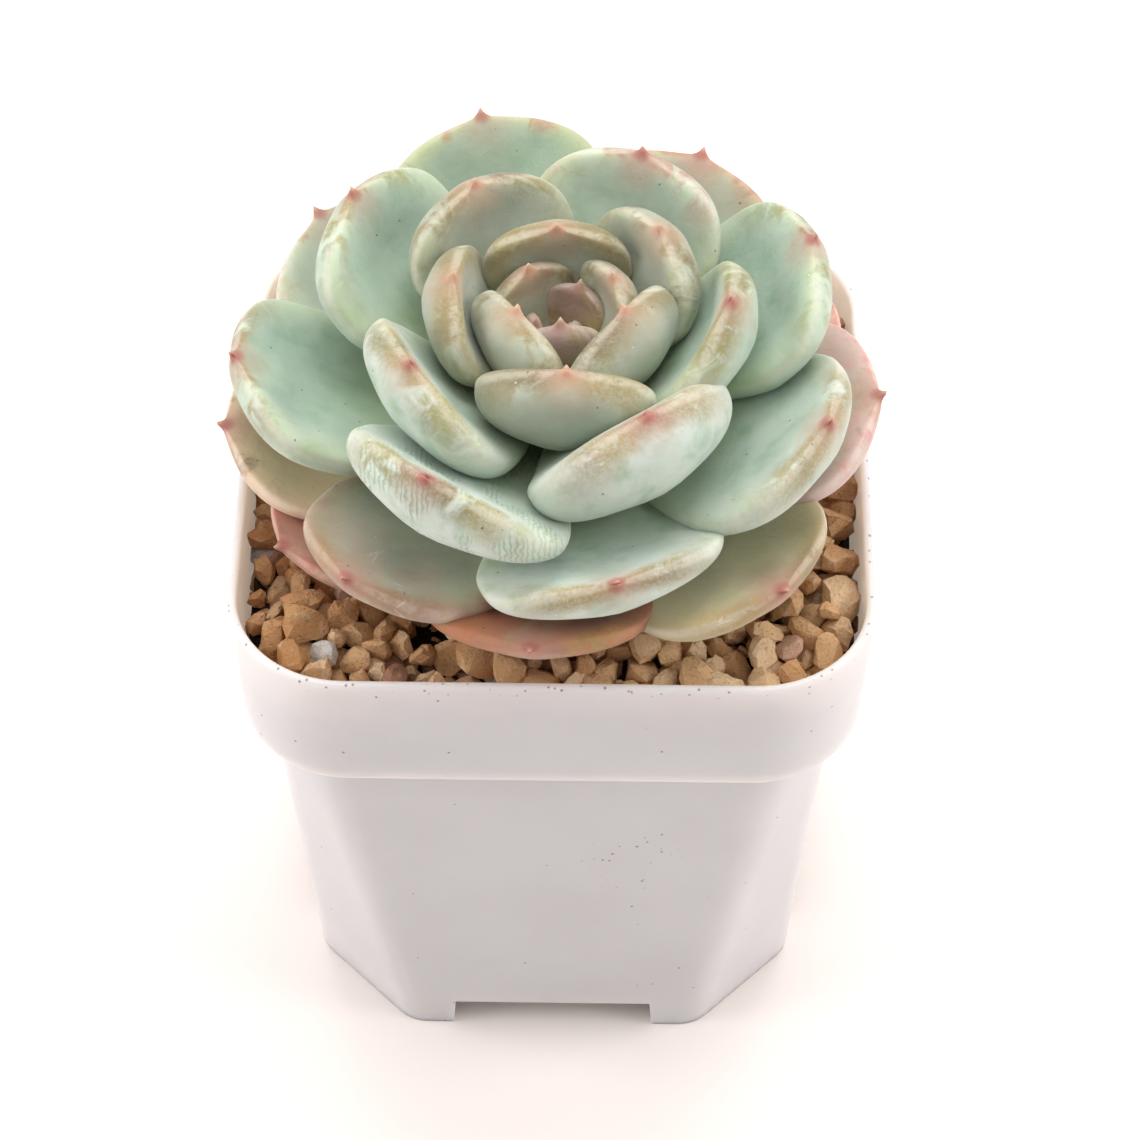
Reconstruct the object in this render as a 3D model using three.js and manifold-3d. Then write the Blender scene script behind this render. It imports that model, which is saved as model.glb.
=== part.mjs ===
// A rosette succulent in a square plastic nursery pot, topped with pebbles.
// Millimetres, +Z up. The origin is on the ground under the middle of the pot.
//
// The plant is one short stem with fleshy leaves set round it on a spiral. Leaf 1 is the innermost
// leaf of the bud, and the numbers rise outwards, each leaf a golden angle on from the last.
import * as THREE from 'three';
import { ParametricGeometry } from 'three/addons/geometries/ParametricGeometry.js';
import { mergeVertices } from 'three/addons/utils/BufferGeometryUtils.js';
import Module from 'manifold-3d';

const ORIGIN = new THREE.Vector2();
const GAP = 0.3; // air left between pieces that touch

// Pot: half-widths are from the pot's axis to a flat side.
const POT_HEIGHT = 72.3;
const LIP_HALF = 35;
const LIP_CORNER = 13.2;
const RIM_HEIGHT = 17.4;
const NECK_HEIGHT = POT_HEIGHT - RIM_HEIGHT;
const RIM_FOOT_HALF = 34.1;
const RIM_FOOT_CORNER = 12;
const NECK_HALF = 31.3;
const NECK_CORNER = 6.4;
const BASE_HALF = 28.8;
const BASE_CORNER = 11.6;
const BASE_ROUNDNESS = 1.08; // 1 cuts a corner straight across, 2 makes it a quarter circle
const NECK_ROUNDNESS = 1.3;
const CUT_CORNER_INSET = 0.59; // how fast a cut corner shrinks as its outline moves in
const EDGE = 0.45; // softened edges at the lip and under the rim
const STEP_BELOW = 0.6; // where the inner face steps out under the rim, and where the step ends
const STEP_ABOVE = 1.6;
const WALL = 1.1;
const FLOOR_UNDERSIDE = 5;
const FLOOR_TOP = 6.4;
const NOTCH_HALF = 11.7;
const NOTCH_HEIGHT = 4.4;
const DRAIN_RADIUS = 2.6;
const DRAIN_RING = 14;
const DRAIN_SIDES = 12;
const CORNER_STEPS = 4;
const CUT_PAST = 1; // how far a cutting shape runs past the face that it opens
const WELD = 1e-4; // vertices closer than this are one

// Growing medium: soil below, pebbles on top.
const SOIL_TOP = 58;
const PEBBLE_TOP = 69.6;
const PEBBLE_LUMP = 0.9; // height of the bumps on the pebble layer
const PEBBLE_SIZE = 5.2;
const PEBBLE_SKEW = 0.6; // turns the rows of bumps off the pot's sides
const PEBBLE_PHASES = [0.4, 1.3];
const PEBBLE_RINGS = 7;

// Stem: radius at heights above the ground, from the root end to the growing tip.
const STEM_PROFILE = [
  [0, 36], [1.6, 38], [3.2, 48], [4.2, 60], [4.8, 72], [4.1, 76], [2.6, 82], [1.2, 86.5], [0, 88],
];
const STEM_SIDES = 12;

// Leaves: values at points along the spiral, counted in leaves from the bud outwards.
const GOLDEN_ANGLE = 137.508;
const SPIRAL_START = 116.1; // heading of leaf place 0, degrees anticlockwise from +X
const LEAF_PLACES = 37;
const LOST_LEAF = 35; // this leaf has dropped off, and bare pebbles show in its place
const PLANT_X = 0.4;
const PLANT_Y = -0.2;
const TIP_RADIUS = [[0, 0.5], [8, 7.6], [14, 18], [20, 30.4], [27, 35.8], [36, 34.4]];
const TIP_HEIGHT = [[0, 90], [8, 98], [14, 99], [20, 95.8], [27, 83.3], [36, 76.2]];
const LEAF_WIDTH = [[0, 4], [4, 9], [8, 16], [14, 21], [20, 25.8], [28, 26.4], [36, 21]];
const LEAF_THICKNESS = [[0, 1.6], [4, 3], [8, 4.8], [12, 6.2], [20, 6.2], [28, 5], [36, 4]];
const LEAF_BEND = [[0, 10], [8, 40], [18, 40], [26, 30], [36, 18]]; // degrees, fuller towards the tip
const BASE_RADIUS = [[0, 0.3], [36, 3.4]];
const BASE_HEIGHT = [[0, 87], [36, 74]];
const BEND_AT_BASE = 0.5; // shares of the bend taken off the slope at the base and added at the tip
const BEND_AT_TIP = 0.95;
const BASE_REACH = 0.36; // how far, in leaf lengths, the end slopes hold
const TIP_REACH = 0.3;
const WIDEST_AT = 0.62; // along the leaf
const THICKEST_AT = 0.6;
const WIDENING = 1.4; // 1 widens the leaf from its base in a straight line, more makes it a spoon
const WIDTH_BLUNTNESS = 2.9; // 2 ends the outline in a half ellipse, more makes it squarer
const THICKNESS_BLUNTNESS = 4;
const UPPER_SHARE = 0.36; // of the thickness, above the line of the side edges
const HOLLOW = 0.34; // depth of the hollow along the upper face, as a share of the thickness
const CUP = 0.08; // lift of the side edges, as a share of the half-width
const FULLNESS = 0.77; // 1 makes the leaf's cross-section an ellipse, less makes it plumper
const TIP_POINT = 1.1; // length of the small point at the leaf's end
const LEAF_SIDES = 8;
const LEAF_STATIONS = [0, 0.12, 0.3, 0.5, 0.68, 0.83, 0.94, 1];

// Degrees by which neighbours have pushed a leaf round from its place on the spiral.
const PUSHED = {
  3: -5, 4: -10, 5: -20, 6: 12, 7: -4, 8: -4, 9: 6, 10: -2, 11: -8, 12: 8, 13: -5, 14: -5, 15: 8,
  16: -10, 17: -3, 18: -11, 19: -7, 20: -2, 21: -1, 22: 2, 23: -7, 24: 8, 25: 4, 27: -7, 28: 8,
  31: 15, 33: 9, 36: 6,
};

// Millimetres by which a leaf reaches out past, or stops short of, the length its place would give.
const REACHES = {
  3: 1.2, 4: -1, 5: 0.4, 6: 0.4, 7: -0.7, 9: -0.7, 14: 0.5, 16: -0.6, 17: -2.6, 20: -0.8, 23: 1.7, 25: -1,
  26: 0.8, 27: -1.2, 30: 1.3, 31: 1, 33: -0.6,
};

// Leaves that are slimmer or stouter than their place would make them, as a share of the thickness.
const STOUTNESS = { 7: 1.25, 9: 1.2, 12: 1.08, 17: 1.3, 20: 0.95, 25: 0.85, 28: 0.88 };
const BREADTHS = { 7: 1.08, 9: 1.02, 28: 0.88, 33: 1.12 }; // times the width, likewise
const UPTURNS = { // times the bend, likewise
  7: 1.15, 9: 1.15, 12: 1.1, 15: 1.2, 17: 1.4, 20: 1.35, 22: 1.2, 25: 1.4, 28: 1.15, 30: 1.15,
};

// Degrees by which a leaf is rolled about its own length, its anticlockwise edge up.
const ROLLED = {
  7: -14, 11: -6, 12: -8, 13: 5, 15: -10, 17: 12, 18: 6, 19: -5, 20: -9, 22: 5, 23: 6, 25: 6, 28: -5, 30: 6,
};

// Leaf colours run from the bud's to green by one share of the leaves, and turn coral from the other.
const BUD_COLOUR = 0x9b8a83;
const GREEN_COLOUR = 0x9db8a3;
const CORAL_COLOUR = 0xc99077;
const GREEN_FROM = 0.3;
const CORAL_FROM = 0.75;
const POT_FINISH = { color: 0xe9e2df, roughness: 0.4 };
const SOIL_FINISH = { color: 0x3a2b20, roughness: 0.95 };
const PEBBLE_FINISH = { color: 0xc39a68, roughness: 0.9 };
const STEM_FINISH = { color: 0x8f8a5e, roughness: 0.8 };
const LEAF_ROUGHNESS = 0.6;

const wasm = await Module();
wasm.setup();

// The value at x on straight lines between [x, value] points.
function between(points, x) {
  const next = Math.max(1, points.findIndex(([end]) => end >= x));
  const [[x0, y0], [x1, y1]] = [points[next - 1], points[next]];
  return THREE.MathUtils.mapLinear(x, x0, x1, y0, y1);
}

// A closed geometry as a solid: shared vertices joined, and triangles with no area left out.
function solid(geometry) {
  const bare = geometry.clone();
  bare.deleteAttribute('normal');
  bare.deleteAttribute('uv');
  const merged = mergeVertices(bare, WELD);
  const corners = merged.index.array;
  const kept = [];
  for (let i = 0; i < corners.length; i += 3) {
    const [a, b, c] = corners.slice(i, i + 3);
    if (a !== b && b !== c && c !== a) kept.push(a, b, c);
  }
  const vertProperties = merged.attributes.position.array;
  const triVerts = new Uint32Array(kept);
  const made = new wasm.Manifold(new wasm.Mesh({ numProp: 3, vertProperties, triVerts }));
  return made.volume() > 0 ? made : flipped(vertProperties, kept);
}

// The same shape with every face turned round, for a surface whose sides ran the other way.
function flipped(vertProperties, corners) {
  const triVerts = new Uint32Array(corners).reverse();
  return new wasm.Manifold(new wasm.Mesh({ numProp: 3, vertProperties, triVerts }));
}

function geometryOf(made) {
  const { vertProperties, triVerts } = made.getMesh();
  const geometry = new THREE.BufferGeometry();
  geometry.setAttribute('position', new THREE.BufferAttribute(vertProperties, 3));
  geometry.setIndex(new THREE.BufferAttribute(triVerts, 1));
  return geometry;
}

// The largest of the separate bodies in a solid.
function largest(made) {
  return made.decompose().reduce((best, body) => (body.volume() > best.volume() ? body : best));
}

// A point on a square outline with cut or rounded corners. Turn runs from 0 to 1 once round.
function squarePoint(turn, half, corner, roundness) {
  const place = Math.round(turn * 4 * (CORNER_STEPS + 1));
  const side = Math.floor(place / (CORNER_STEPS + 1));
  const angle = ((place % (CORNER_STEPS + 1)) / CORNER_STEPS) * Math.PI / 2;
  const reach = (value) => half - corner + corner * Math.pow(Math.max(value, 0), 2 / roundness);
  const point = new THREE.Vector2(reach(Math.cos(angle)), reach(Math.sin(angle)));
  if (half === 0) point.set(0, 0);
  return point.rotateAround(ORIGIN, side * Math.PI / 2);
}

// A solid with a square outline at every level: each ring is [half-width, height, corner, roundness].
function squareTurned(rings) {
  const around = 4 * (CORNER_STEPS + 1);
  const surface = (u, v, target) => {
    const [half, height, corner = 0, roundness = 2] = rings[Math.round(v * (rings.length - 1))];
    const { x, y } = squarePoint(u, half, corner, roundness);
    target.set(x, y, height);
  };
  return solid(new ParametricGeometry(surface, around, rings.length - 1));
}

// A block that cuts the pot's skirt away from below the ground up to the top of the foot notches.
function block(width, depth) {
  const height = NOTCH_HEIGHT + CUT_PAST;
  return solid(new THREE.BoxGeometry(width, depth, height).translate(0, 0, NOTCH_HEIGHT - height / 2));
}

// The pot's outline at a height on its body, moved in from the outer face by the inset.
function bodyRing(height, inset) {
  const rise = height / NECK_HEIGHT;
  const half = THREE.MathUtils.lerp(BASE_HALF, NECK_HALF, rise) - inset;
  const corner = THREE.MathUtils.lerp(BASE_CORNER, NECK_CORNER, rise) - inset * CUT_CORNER_INSET;
  return [half, height, corner, THREE.MathUtils.lerp(BASE_ROUNDNESS, NECK_ROUNDNESS, rise)];
}

// The same on the rim, whose corners are round.
function rimRing(height, inset) {
  const rise = (height - NECK_HEIGHT) / RIM_HEIGHT;
  const half = THREE.MathUtils.lerp(RIM_FOOT_HALF, LIP_HALF, rise) - inset;
  return [half, height, THREE.MathUtils.lerp(RIM_FOOT_CORNER, LIP_CORNER, rise) - inset];
}

// Rings up the inside of the pot from the height where they start, a clearance off the inner face.
function innerRings(start, top, clearance) {
  const inset = WALL + clearance;
  const body = [bodyRing(start, inset), bodyRing(NECK_HEIGHT - STEP_BELOW, inset)];
  return [...body, rimRing(NECK_HEIGHT + STEP_ABOVE, inset), rimRing(top, inset)];
}

function makePot() {
  const ledge = rimRing(NECK_HEIGHT, EDGE);
  const lip = rimRing(POT_HEIGHT, EDGE);
  const shell = squareTurned([
    [0, 0], bodyRing(0, 0), bodyRing(NECK_HEIGHT - EDGE, 0), ledge, rimRing(NECK_HEIGHT + EDGE, 0),
    rimRing(POT_HEIGHT - EDGE, 0), lip, [0, POT_HEIGHT],
  ]);
  const above = POT_HEIGHT + CUT_PAST;
  const hollow = squareTurned([[0, FLOOR_TOP], ...innerRings(FLOOR_TOP, above, 0), [0, above]]);
  const recess = squareTurned([
    [0, -CUT_PAST], bodyRing(-CUT_PAST, WALL), bodyRing(FLOOR_UNDERSIDE, WALL), [0, FLOOR_UNDERSIDE],
  ]);
  const across = 2 * (LIP_HALF + CUT_PAST);
  const notches = block(2 * NOTCH_HALF, across).add(block(across, 2 * NOTCH_HALF));
  const walls = shell.subtract(hollow).subtract(recess).subtract(notches);
  return drainHoles().reduce((left, hole) => left.subtract(hole), walls);
}

// One drain hole in the middle of the pot's floor and four round it.
function drainHoles() {
  const places = [[0, 0], [DRAIN_RING, 0], [-DRAIN_RING, 0], [0, DRAIN_RING], [0, -DRAIN_RING]];
  const height = FLOOR_TOP - FLOOR_UNDERSIDE + 2 * CUT_PAST;
  const hole = new THREE.CylinderGeometry(DRAIN_RADIUS, DRAIN_RADIUS, height, DRAIN_SIDES);
  hole.rotateX(Math.PI / 2);
  return places.map(([x, y]) => solid(hole.clone().translate(x, y, (FLOOR_TOP + FLOOR_UNDERSIDE) / 2)));
}

function makeStem(grow) {
  const grown = ([radius, height]) => new THREE.Vector2(radius > 0 ? radius + grow : 0, height);
  const profile = STEM_PROFILE.map(grown);
  profile[0].y -= grow;
  profile.at(-1).y += grow;
  const turned = new THREE.LatheGeometry(profile, STEM_SIDES).rotateX(Math.PI / 2);
  return solid(turned.translate(PLANT_X, PLANT_Y, 0));
}

function makeSoil(stemSpace) {
  const bottom = FLOOR_TOP + GAP;
  return squareTurned([[0, bottom], ...innerRings(bottom, SOIL_TOP, GAP), [0, SOIL_TOP]]).subtract(stemSpace);
}

// The pebble layer: flat sides and bottom, and a top that rises and falls a pebble at a time.
function makePebbles(stemSpace) {
  const bottom = SOIL_TOP + GAP;
  const [half, , corner] = rimRing(PEBBLE_TOP, WALL + GAP);
  const top = Array.from({ length: PEBBLE_RINGS }, (_, i) => {
    const share = 1 - i / PEBBLE_RINGS;
    return [half * share, PEBBLE_TOP, corner * share];
  });
  const rings = [[0, bottom], rimRing(bottom, WALL + GAP), ...top, [0, PEBBLE_TOP]];
  const surface = (u, v, target) => {
    const [ringHalf, height, ringCorner = 0] = rings[Math.round(v * (rings.length - 1))];
    const { x, y } = squarePoint(u, ringHalf, ringCorner, 2);
    target.set(x, y, height > bottom ? height + pebbleLump(x, y) : height);
  };
  const layer = new ParametricGeometry(surface, 4 * (CORNER_STEPS + 1), rings.length - 1);
  return solid(layer).subtract(stemSpace);
}

function pebbleLump(x, y) {
  const wave = (along, phase) => Math.sin((along / PEBBLE_SIZE) * Math.PI + phase);
  const [first, second] = PEBBLE_PHASES;
  return PEBBLE_LUMP / 2 * (wave(x + PEBBLE_SKEW * y, first) * wave(y - PEBBLE_SKEW * x, second) - 1);
}

// Everything that shapes the leaf at one place on the spiral.
function leafForm(place) {
  const heading = SPIRAL_START - GOLDEN_ANGLE * place + (PUSHED[place] ?? 0);
  return {
    heading: THREE.MathUtils.degToRad(heading),
    base: new THREE.Vector2(between(BASE_RADIUS, place), between(BASE_HEIGHT, place)),
    tip: new THREE.Vector2(between(TIP_RADIUS, place) + (REACHES[place] ?? 0), between(TIP_HEIGHT, place)),
    roll: THREE.MathUtils.degToRad(ROLLED[place] ?? 0),
    halfWidth: (between(LEAF_WIDTH, place) / 2) * (BREADTHS[place] ?? 1),
    thickness: between(LEAF_THICKNESS, place) * (STOUTNESS[place] ?? 1),
    bend: THREE.MathUtils.degToRad(between(LEAF_BEND, place)) * (UPTURNS[place] ?? 1),
  };
}

// The line from base to tip through the height of the leaf's side edges. It sets off lower than
// straight at the tip, and turns up most in its last third.
function midline({ base, tip, bend }) {
  const chord = tip.clone().sub(base);
  const ahead = (angle, reach) => new THREE.Vector2(Math.cos(angle), Math.sin(angle)).multiplyScalar(reach);
  const start = ahead(chord.angle() - bend * BEND_AT_BASE, chord.length() * BASE_REACH);
  const end = ahead(chord.angle() + bend * BEND_AT_TIP, chord.length() * TIP_REACH);
  return new THREE.CubicBezierCurve(base, start.add(base), tip.clone().sub(end), tip);
}

// Grows from nothing at 0 to one at the peak, and ends in a rounded nose at 1.
function outline(along, peak, bluntness) {
  if (along < peak) return 1 - Math.pow(1 - along / peak, WIDENING);
  return Math.sqrt(Math.max(0, 1 - Math.pow((along - peak) / (1 - peak), bluntness)));
}

const swell = (value) => Math.sign(value) * Math.pow(Math.abs(value), FULLNESS);

// Height on the leaf's cross-section, in thicknesses from the line of the side edges.
function sectionHeight(sine) {
  if (sine <= 0) return (1 - UPPER_SHARE) * swell(sine);
  return UPPER_SHARE * swell(sine) - HOLLOW * Math.pow(sine, 4);
}

// A fleshy leaf: a spoon outline, a hollowed upper face, a full underside and a small point.
function makeLeaf(form, grow) {
  const line = midline(form);
  const stations = LEAF_STATIONS.length - 1;
  const surface = (u, v, target) => {
    const step = Math.round(v * stations);
    const along = LEAF_STATIONS[step];
    const isEnd = step === 0 || step === stations;
    const centre = line.getPoint(along);
    const ahead = line.getTangent(along);
    const width = isEnd ? 0 : form.halfWidth * outline(along, WIDEST_AT, WIDTH_BLUNTNESS) + grow;
    const fullness = outline(along, THICKEST_AT, THICKNESS_BLUNTNESS);
    const thickness = isEnd ? 0 : form.thickness * fullness + 2 * grow;
    const angle = u * 2 * Math.PI;
    const spread = width * swell(Math.cos(angle));
    const cup = width ? CUP * spread * spread / width : 0;
    const rise = thickness * sectionHeight(Math.sin(angle)) + cup;
    const { x: across, y: lift } = new THREE.Vector2(spread, rise).rotateAround(ORIGIN, form.roll);
    if (step === stations) centre.addScaledVector(ahead, TIP_POINT + grow);
    target.set(centre.x - lift * ahead.y, across, centre.y + lift * ahead.x);
  };
  const geometry = new ParametricGeometry(surface, LEAF_SIDES, stations);
  return solid(geometry.rotateZ(form.heading).translate(PLANT_X, PLANT_Y, 0));
}

// Leaves from the bud outwards. Each gives way to the stem, the pebbles and every leaf inside it.
function makeLeaves(cutters) {
  const leaves = [];
  const taken = [...cutters];
  for (let place = 0; place < LEAF_PLACES; place += 1) {
    if (place === LOST_LEAF) continue;
    const form = leafForm(place);
    const cut = taken.reduce((left, cutter) => left.subtract(cutter), makeLeaf(form, 0));
    leaves.push(largest(cut));
    taken.push(makeLeaf(form, GAP));
  }
  return leaves;
}

function piece(name, made, finish) {
  const mesh = new THREE.Mesh(geometryOf(made), new THREE.MeshStandardMaterial({ metalness: 0, ...finish }));
  mesh.name = name;
  return mesh;
}

// Bud leaves are dusky mauve, middle leaves pale grey-green, and the oldest turn coral.
function leafColour(share) {
  const green = new THREE.Color(GREEN_COLOUR);
  if (share < GREEN_FROM) return new THREE.Color(BUD_COLOUR).lerp(green, share / GREEN_FROM);
  return green.lerp(new THREE.Color(CORAL_COLOUR), Math.max(0, (share - CORAL_FROM) / (1 - CORAL_FROM)));
}

const stem = makeStem(0);
const stemSpace = makeStem(GAP);
const pebbles = makePebbles(stemSpace);
const group = new THREE.Group();
group.add(piece('pot', makePot(), POT_FINISH));
group.add(piece('potting_soil', makeSoil(stemSpace), SOIL_FINISH));
group.add(piece('gravel_top_dressing', pebbles, PEBBLE_FINISH));
group.add(piece('stem', stem, STEM_FINISH));

const plant = new THREE.Group();
makeLeaves([stemSpace, pebbles.translate([0, 0, GAP])]).forEach((leaf, index, all) => {
  const name = `leaf_${String(index + 1).padStart(2, '0')}`;
  plant.add(piece(name, leaf, { color: leafColour(index / (all.length - 1)), roughness: LEAF_ROUGHNESS }));
});
group.add(plant);

export default group;
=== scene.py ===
"""A rosette succulent in a square plastic nursery pot, dressed with fired-clay pebbles.

Shapes are worked out in millimetres, on grids, and become meshes in metres. The leaves' places come
from the frame: each leaf's point is the point of its solid, and the stem gives the plant's axis.
"""
import logging
import math
from dataclasses import asdict, dataclass
from enum import Enum
from functools import reduce

import bmesh
import bpy
import numpy as np
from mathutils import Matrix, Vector


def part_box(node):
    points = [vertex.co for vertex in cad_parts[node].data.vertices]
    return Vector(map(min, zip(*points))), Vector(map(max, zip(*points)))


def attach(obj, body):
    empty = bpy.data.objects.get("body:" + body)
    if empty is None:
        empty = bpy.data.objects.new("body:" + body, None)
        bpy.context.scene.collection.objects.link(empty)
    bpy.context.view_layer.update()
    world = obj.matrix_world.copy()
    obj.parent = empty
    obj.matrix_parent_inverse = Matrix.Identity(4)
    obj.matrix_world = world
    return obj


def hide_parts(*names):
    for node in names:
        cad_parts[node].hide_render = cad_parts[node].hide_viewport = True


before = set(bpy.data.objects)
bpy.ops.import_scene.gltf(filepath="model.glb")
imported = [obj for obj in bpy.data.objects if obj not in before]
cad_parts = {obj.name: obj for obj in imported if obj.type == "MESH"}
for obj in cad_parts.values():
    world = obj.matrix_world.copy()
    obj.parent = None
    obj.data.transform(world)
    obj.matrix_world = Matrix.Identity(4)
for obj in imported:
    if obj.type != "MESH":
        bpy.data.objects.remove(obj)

Socket, Material, Piece = bpy.types.NodeSocket, bpy.types.Material, bpy.types.Object
LOG = logging.getLogger("succulent")
MM = 0.001
END_TURN = 0.95  # the share of a leaf's bend that its end turns up by
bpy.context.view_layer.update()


# ---------------------------------------------------------------------------- small tools


def paint(code: str) -> tuple[float, float, float, float]:
    """A colour written as on a paint chart, turned linear for the renderer.

    Args:
        code: six hexadecimal digits, red first.

    Returns:
        Linear red, green, blue and an alpha of one.
    """
    shares = np.array([int(code[i:i + 2], 16) for i in (0, 2, 4)]) / 255
    linear = np.where(shares <= 0.04045, shares / 12.92, ((shares + 0.055) / 1.055) ** 2.4)
    return (*linear.tolist(), 1.0)


def smooth(value: np.ndarray, low: float, high: float) -> np.ndarray:
    """Rises smoothly from 0 at low to 1 at high."""
    share = np.clip((value - low) / (high - low), 0, 1)
    return share * share * (3 - 2 * share)


def unit(vectors: np.ndarray) -> np.ndarray:
    """The vectors at length one."""
    return vectors / np.maximum(np.linalg.norm(vectors, axis=-1, keepdims=True), 1e-12)


def swell(value: np.ndarray, fullness: float) -> np.ndarray:
    """The value's sign times its size to the power of fullness, which plumps a circle out."""
    return np.sign(value) * np.abs(value) ** fullness


def vertex_rows(mesh: bpy.types.Mesh, what: str = "co") -> np.ndarray:
    """What the vertices of a mesh say, in metres.

    Args:
        mesh: the mesh.
        what: co for the vertices' places and normal for their normals.

    Returns:
        An array, one vertex a row.
    """
    flat = np.empty(len(mesh.vertices) * 3)
    mesh.vertices.foreach_get(what, flat)
    return flat.reshape(-1, 3)


def node_points(name: str) -> np.ndarray:
    """The vertices of a solid of the frame, in millimetres."""
    return vertex_rows(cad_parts[name].data) / MM


def box_mm(name: str) -> tuple[np.ndarray, np.ndarray]:
    """The lowest and highest corner of a node, in millimetres."""
    low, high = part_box(name)
    return np.array(low) / MM, np.array(high) / MM


def closed(grid: np.ndarray, start: object, end: object) -> tuple[np.ndarray, list[list[int]]]:
    """A closed skin: faces from ring to ring, and a fan to a single point at each end.

    Args:
        grid: rings by points by coordinates.
        start: the point in front of the first ring.
        end: the point after the last ring.

    Returns:
        The points, one a row with the two end points last, and faces as lists of point numbers.
    """
    rows, around = grid.shape[:2]
    column = np.arange(around)
    beside = (column + 1) % around
    row = np.arange(rows - 1)[:, None] * around
    quads = np.stack([row + column, row + beside, row + beside + around, row + column + around], -1)
    last, tail = (rows - 1) * around, rows * around
    low = np.stack([np.full(around, tail), beside, column], -1)
    high = np.stack([last + column, last + beside, np.full(around, tail + 1)], -1)
    faces = quads.reshape(-1, 4).tolist() + low.tolist() + high.tolist()
    return np.concatenate([grid.reshape(-1, 3), np.array([start, end])]), faces


def new_piece(name: str, points: np.ndarray, faces: list,
              marks: dict[str, np.ndarray] | None = None,
              sharp_angle: float | None = None) -> Piece:
    """A piece of the object from points in millimetres.

    Args:
        name: the piece's name.
        points: an array of points, one a row.
        faces: lists of point numbers.
        marks: values for the materials to read, one number a point, by name.
        sharp_angle: edges that turn by more than this many degrees stay sharp.

    Returns:
        The new object, smooth shaded, in the scene.
    """
    mesh = bpy.data.meshes.new(name)
    mesh.from_pydata((points * MM).tolist(), [], faces)
    mesh.polygons.foreach_set("use_smooth", np.ones(len(mesh.polygons), dtype=bool))
    for mark, values in (marks or {}).items():
        attribute = mesh.attributes.new(mark, "FLOAT", "POINT")
        attribute.data.foreach_set("value", np.asarray(values, dtype=np.float32).ravel())
    if sharp_angle is not None:
        mesh.set_sharp_from_angle(angle=math.radians(sharp_angle))
    mesh.validate()
    mesh.update()
    piece = bpy.data.objects.new(name, mesh)
    bpy.context.scene.collection.objects.link(piece)
    return piece


def dress(piece: Piece, material: Material, slot: str, *nodes: str) -> None:
    """Gives a piece its material, rides it on the part and hides the solids that it stands for.

    Args:
        piece: the piece.
        material: its material.
        slot: the name of its finish.
        nodes: the solids that it stands for.
    """
    piece.data.materials.append(material)
    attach(piece, "root")
    if nodes:
        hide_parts(*nodes)
    faces = len(piece.data.polygons)
    LOG.info("%s: %d faces, slot %s, stands for %s", piece.name, faces, slot, nodes or "-")


# ---------------------------------------------------------------------------- materials


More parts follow.
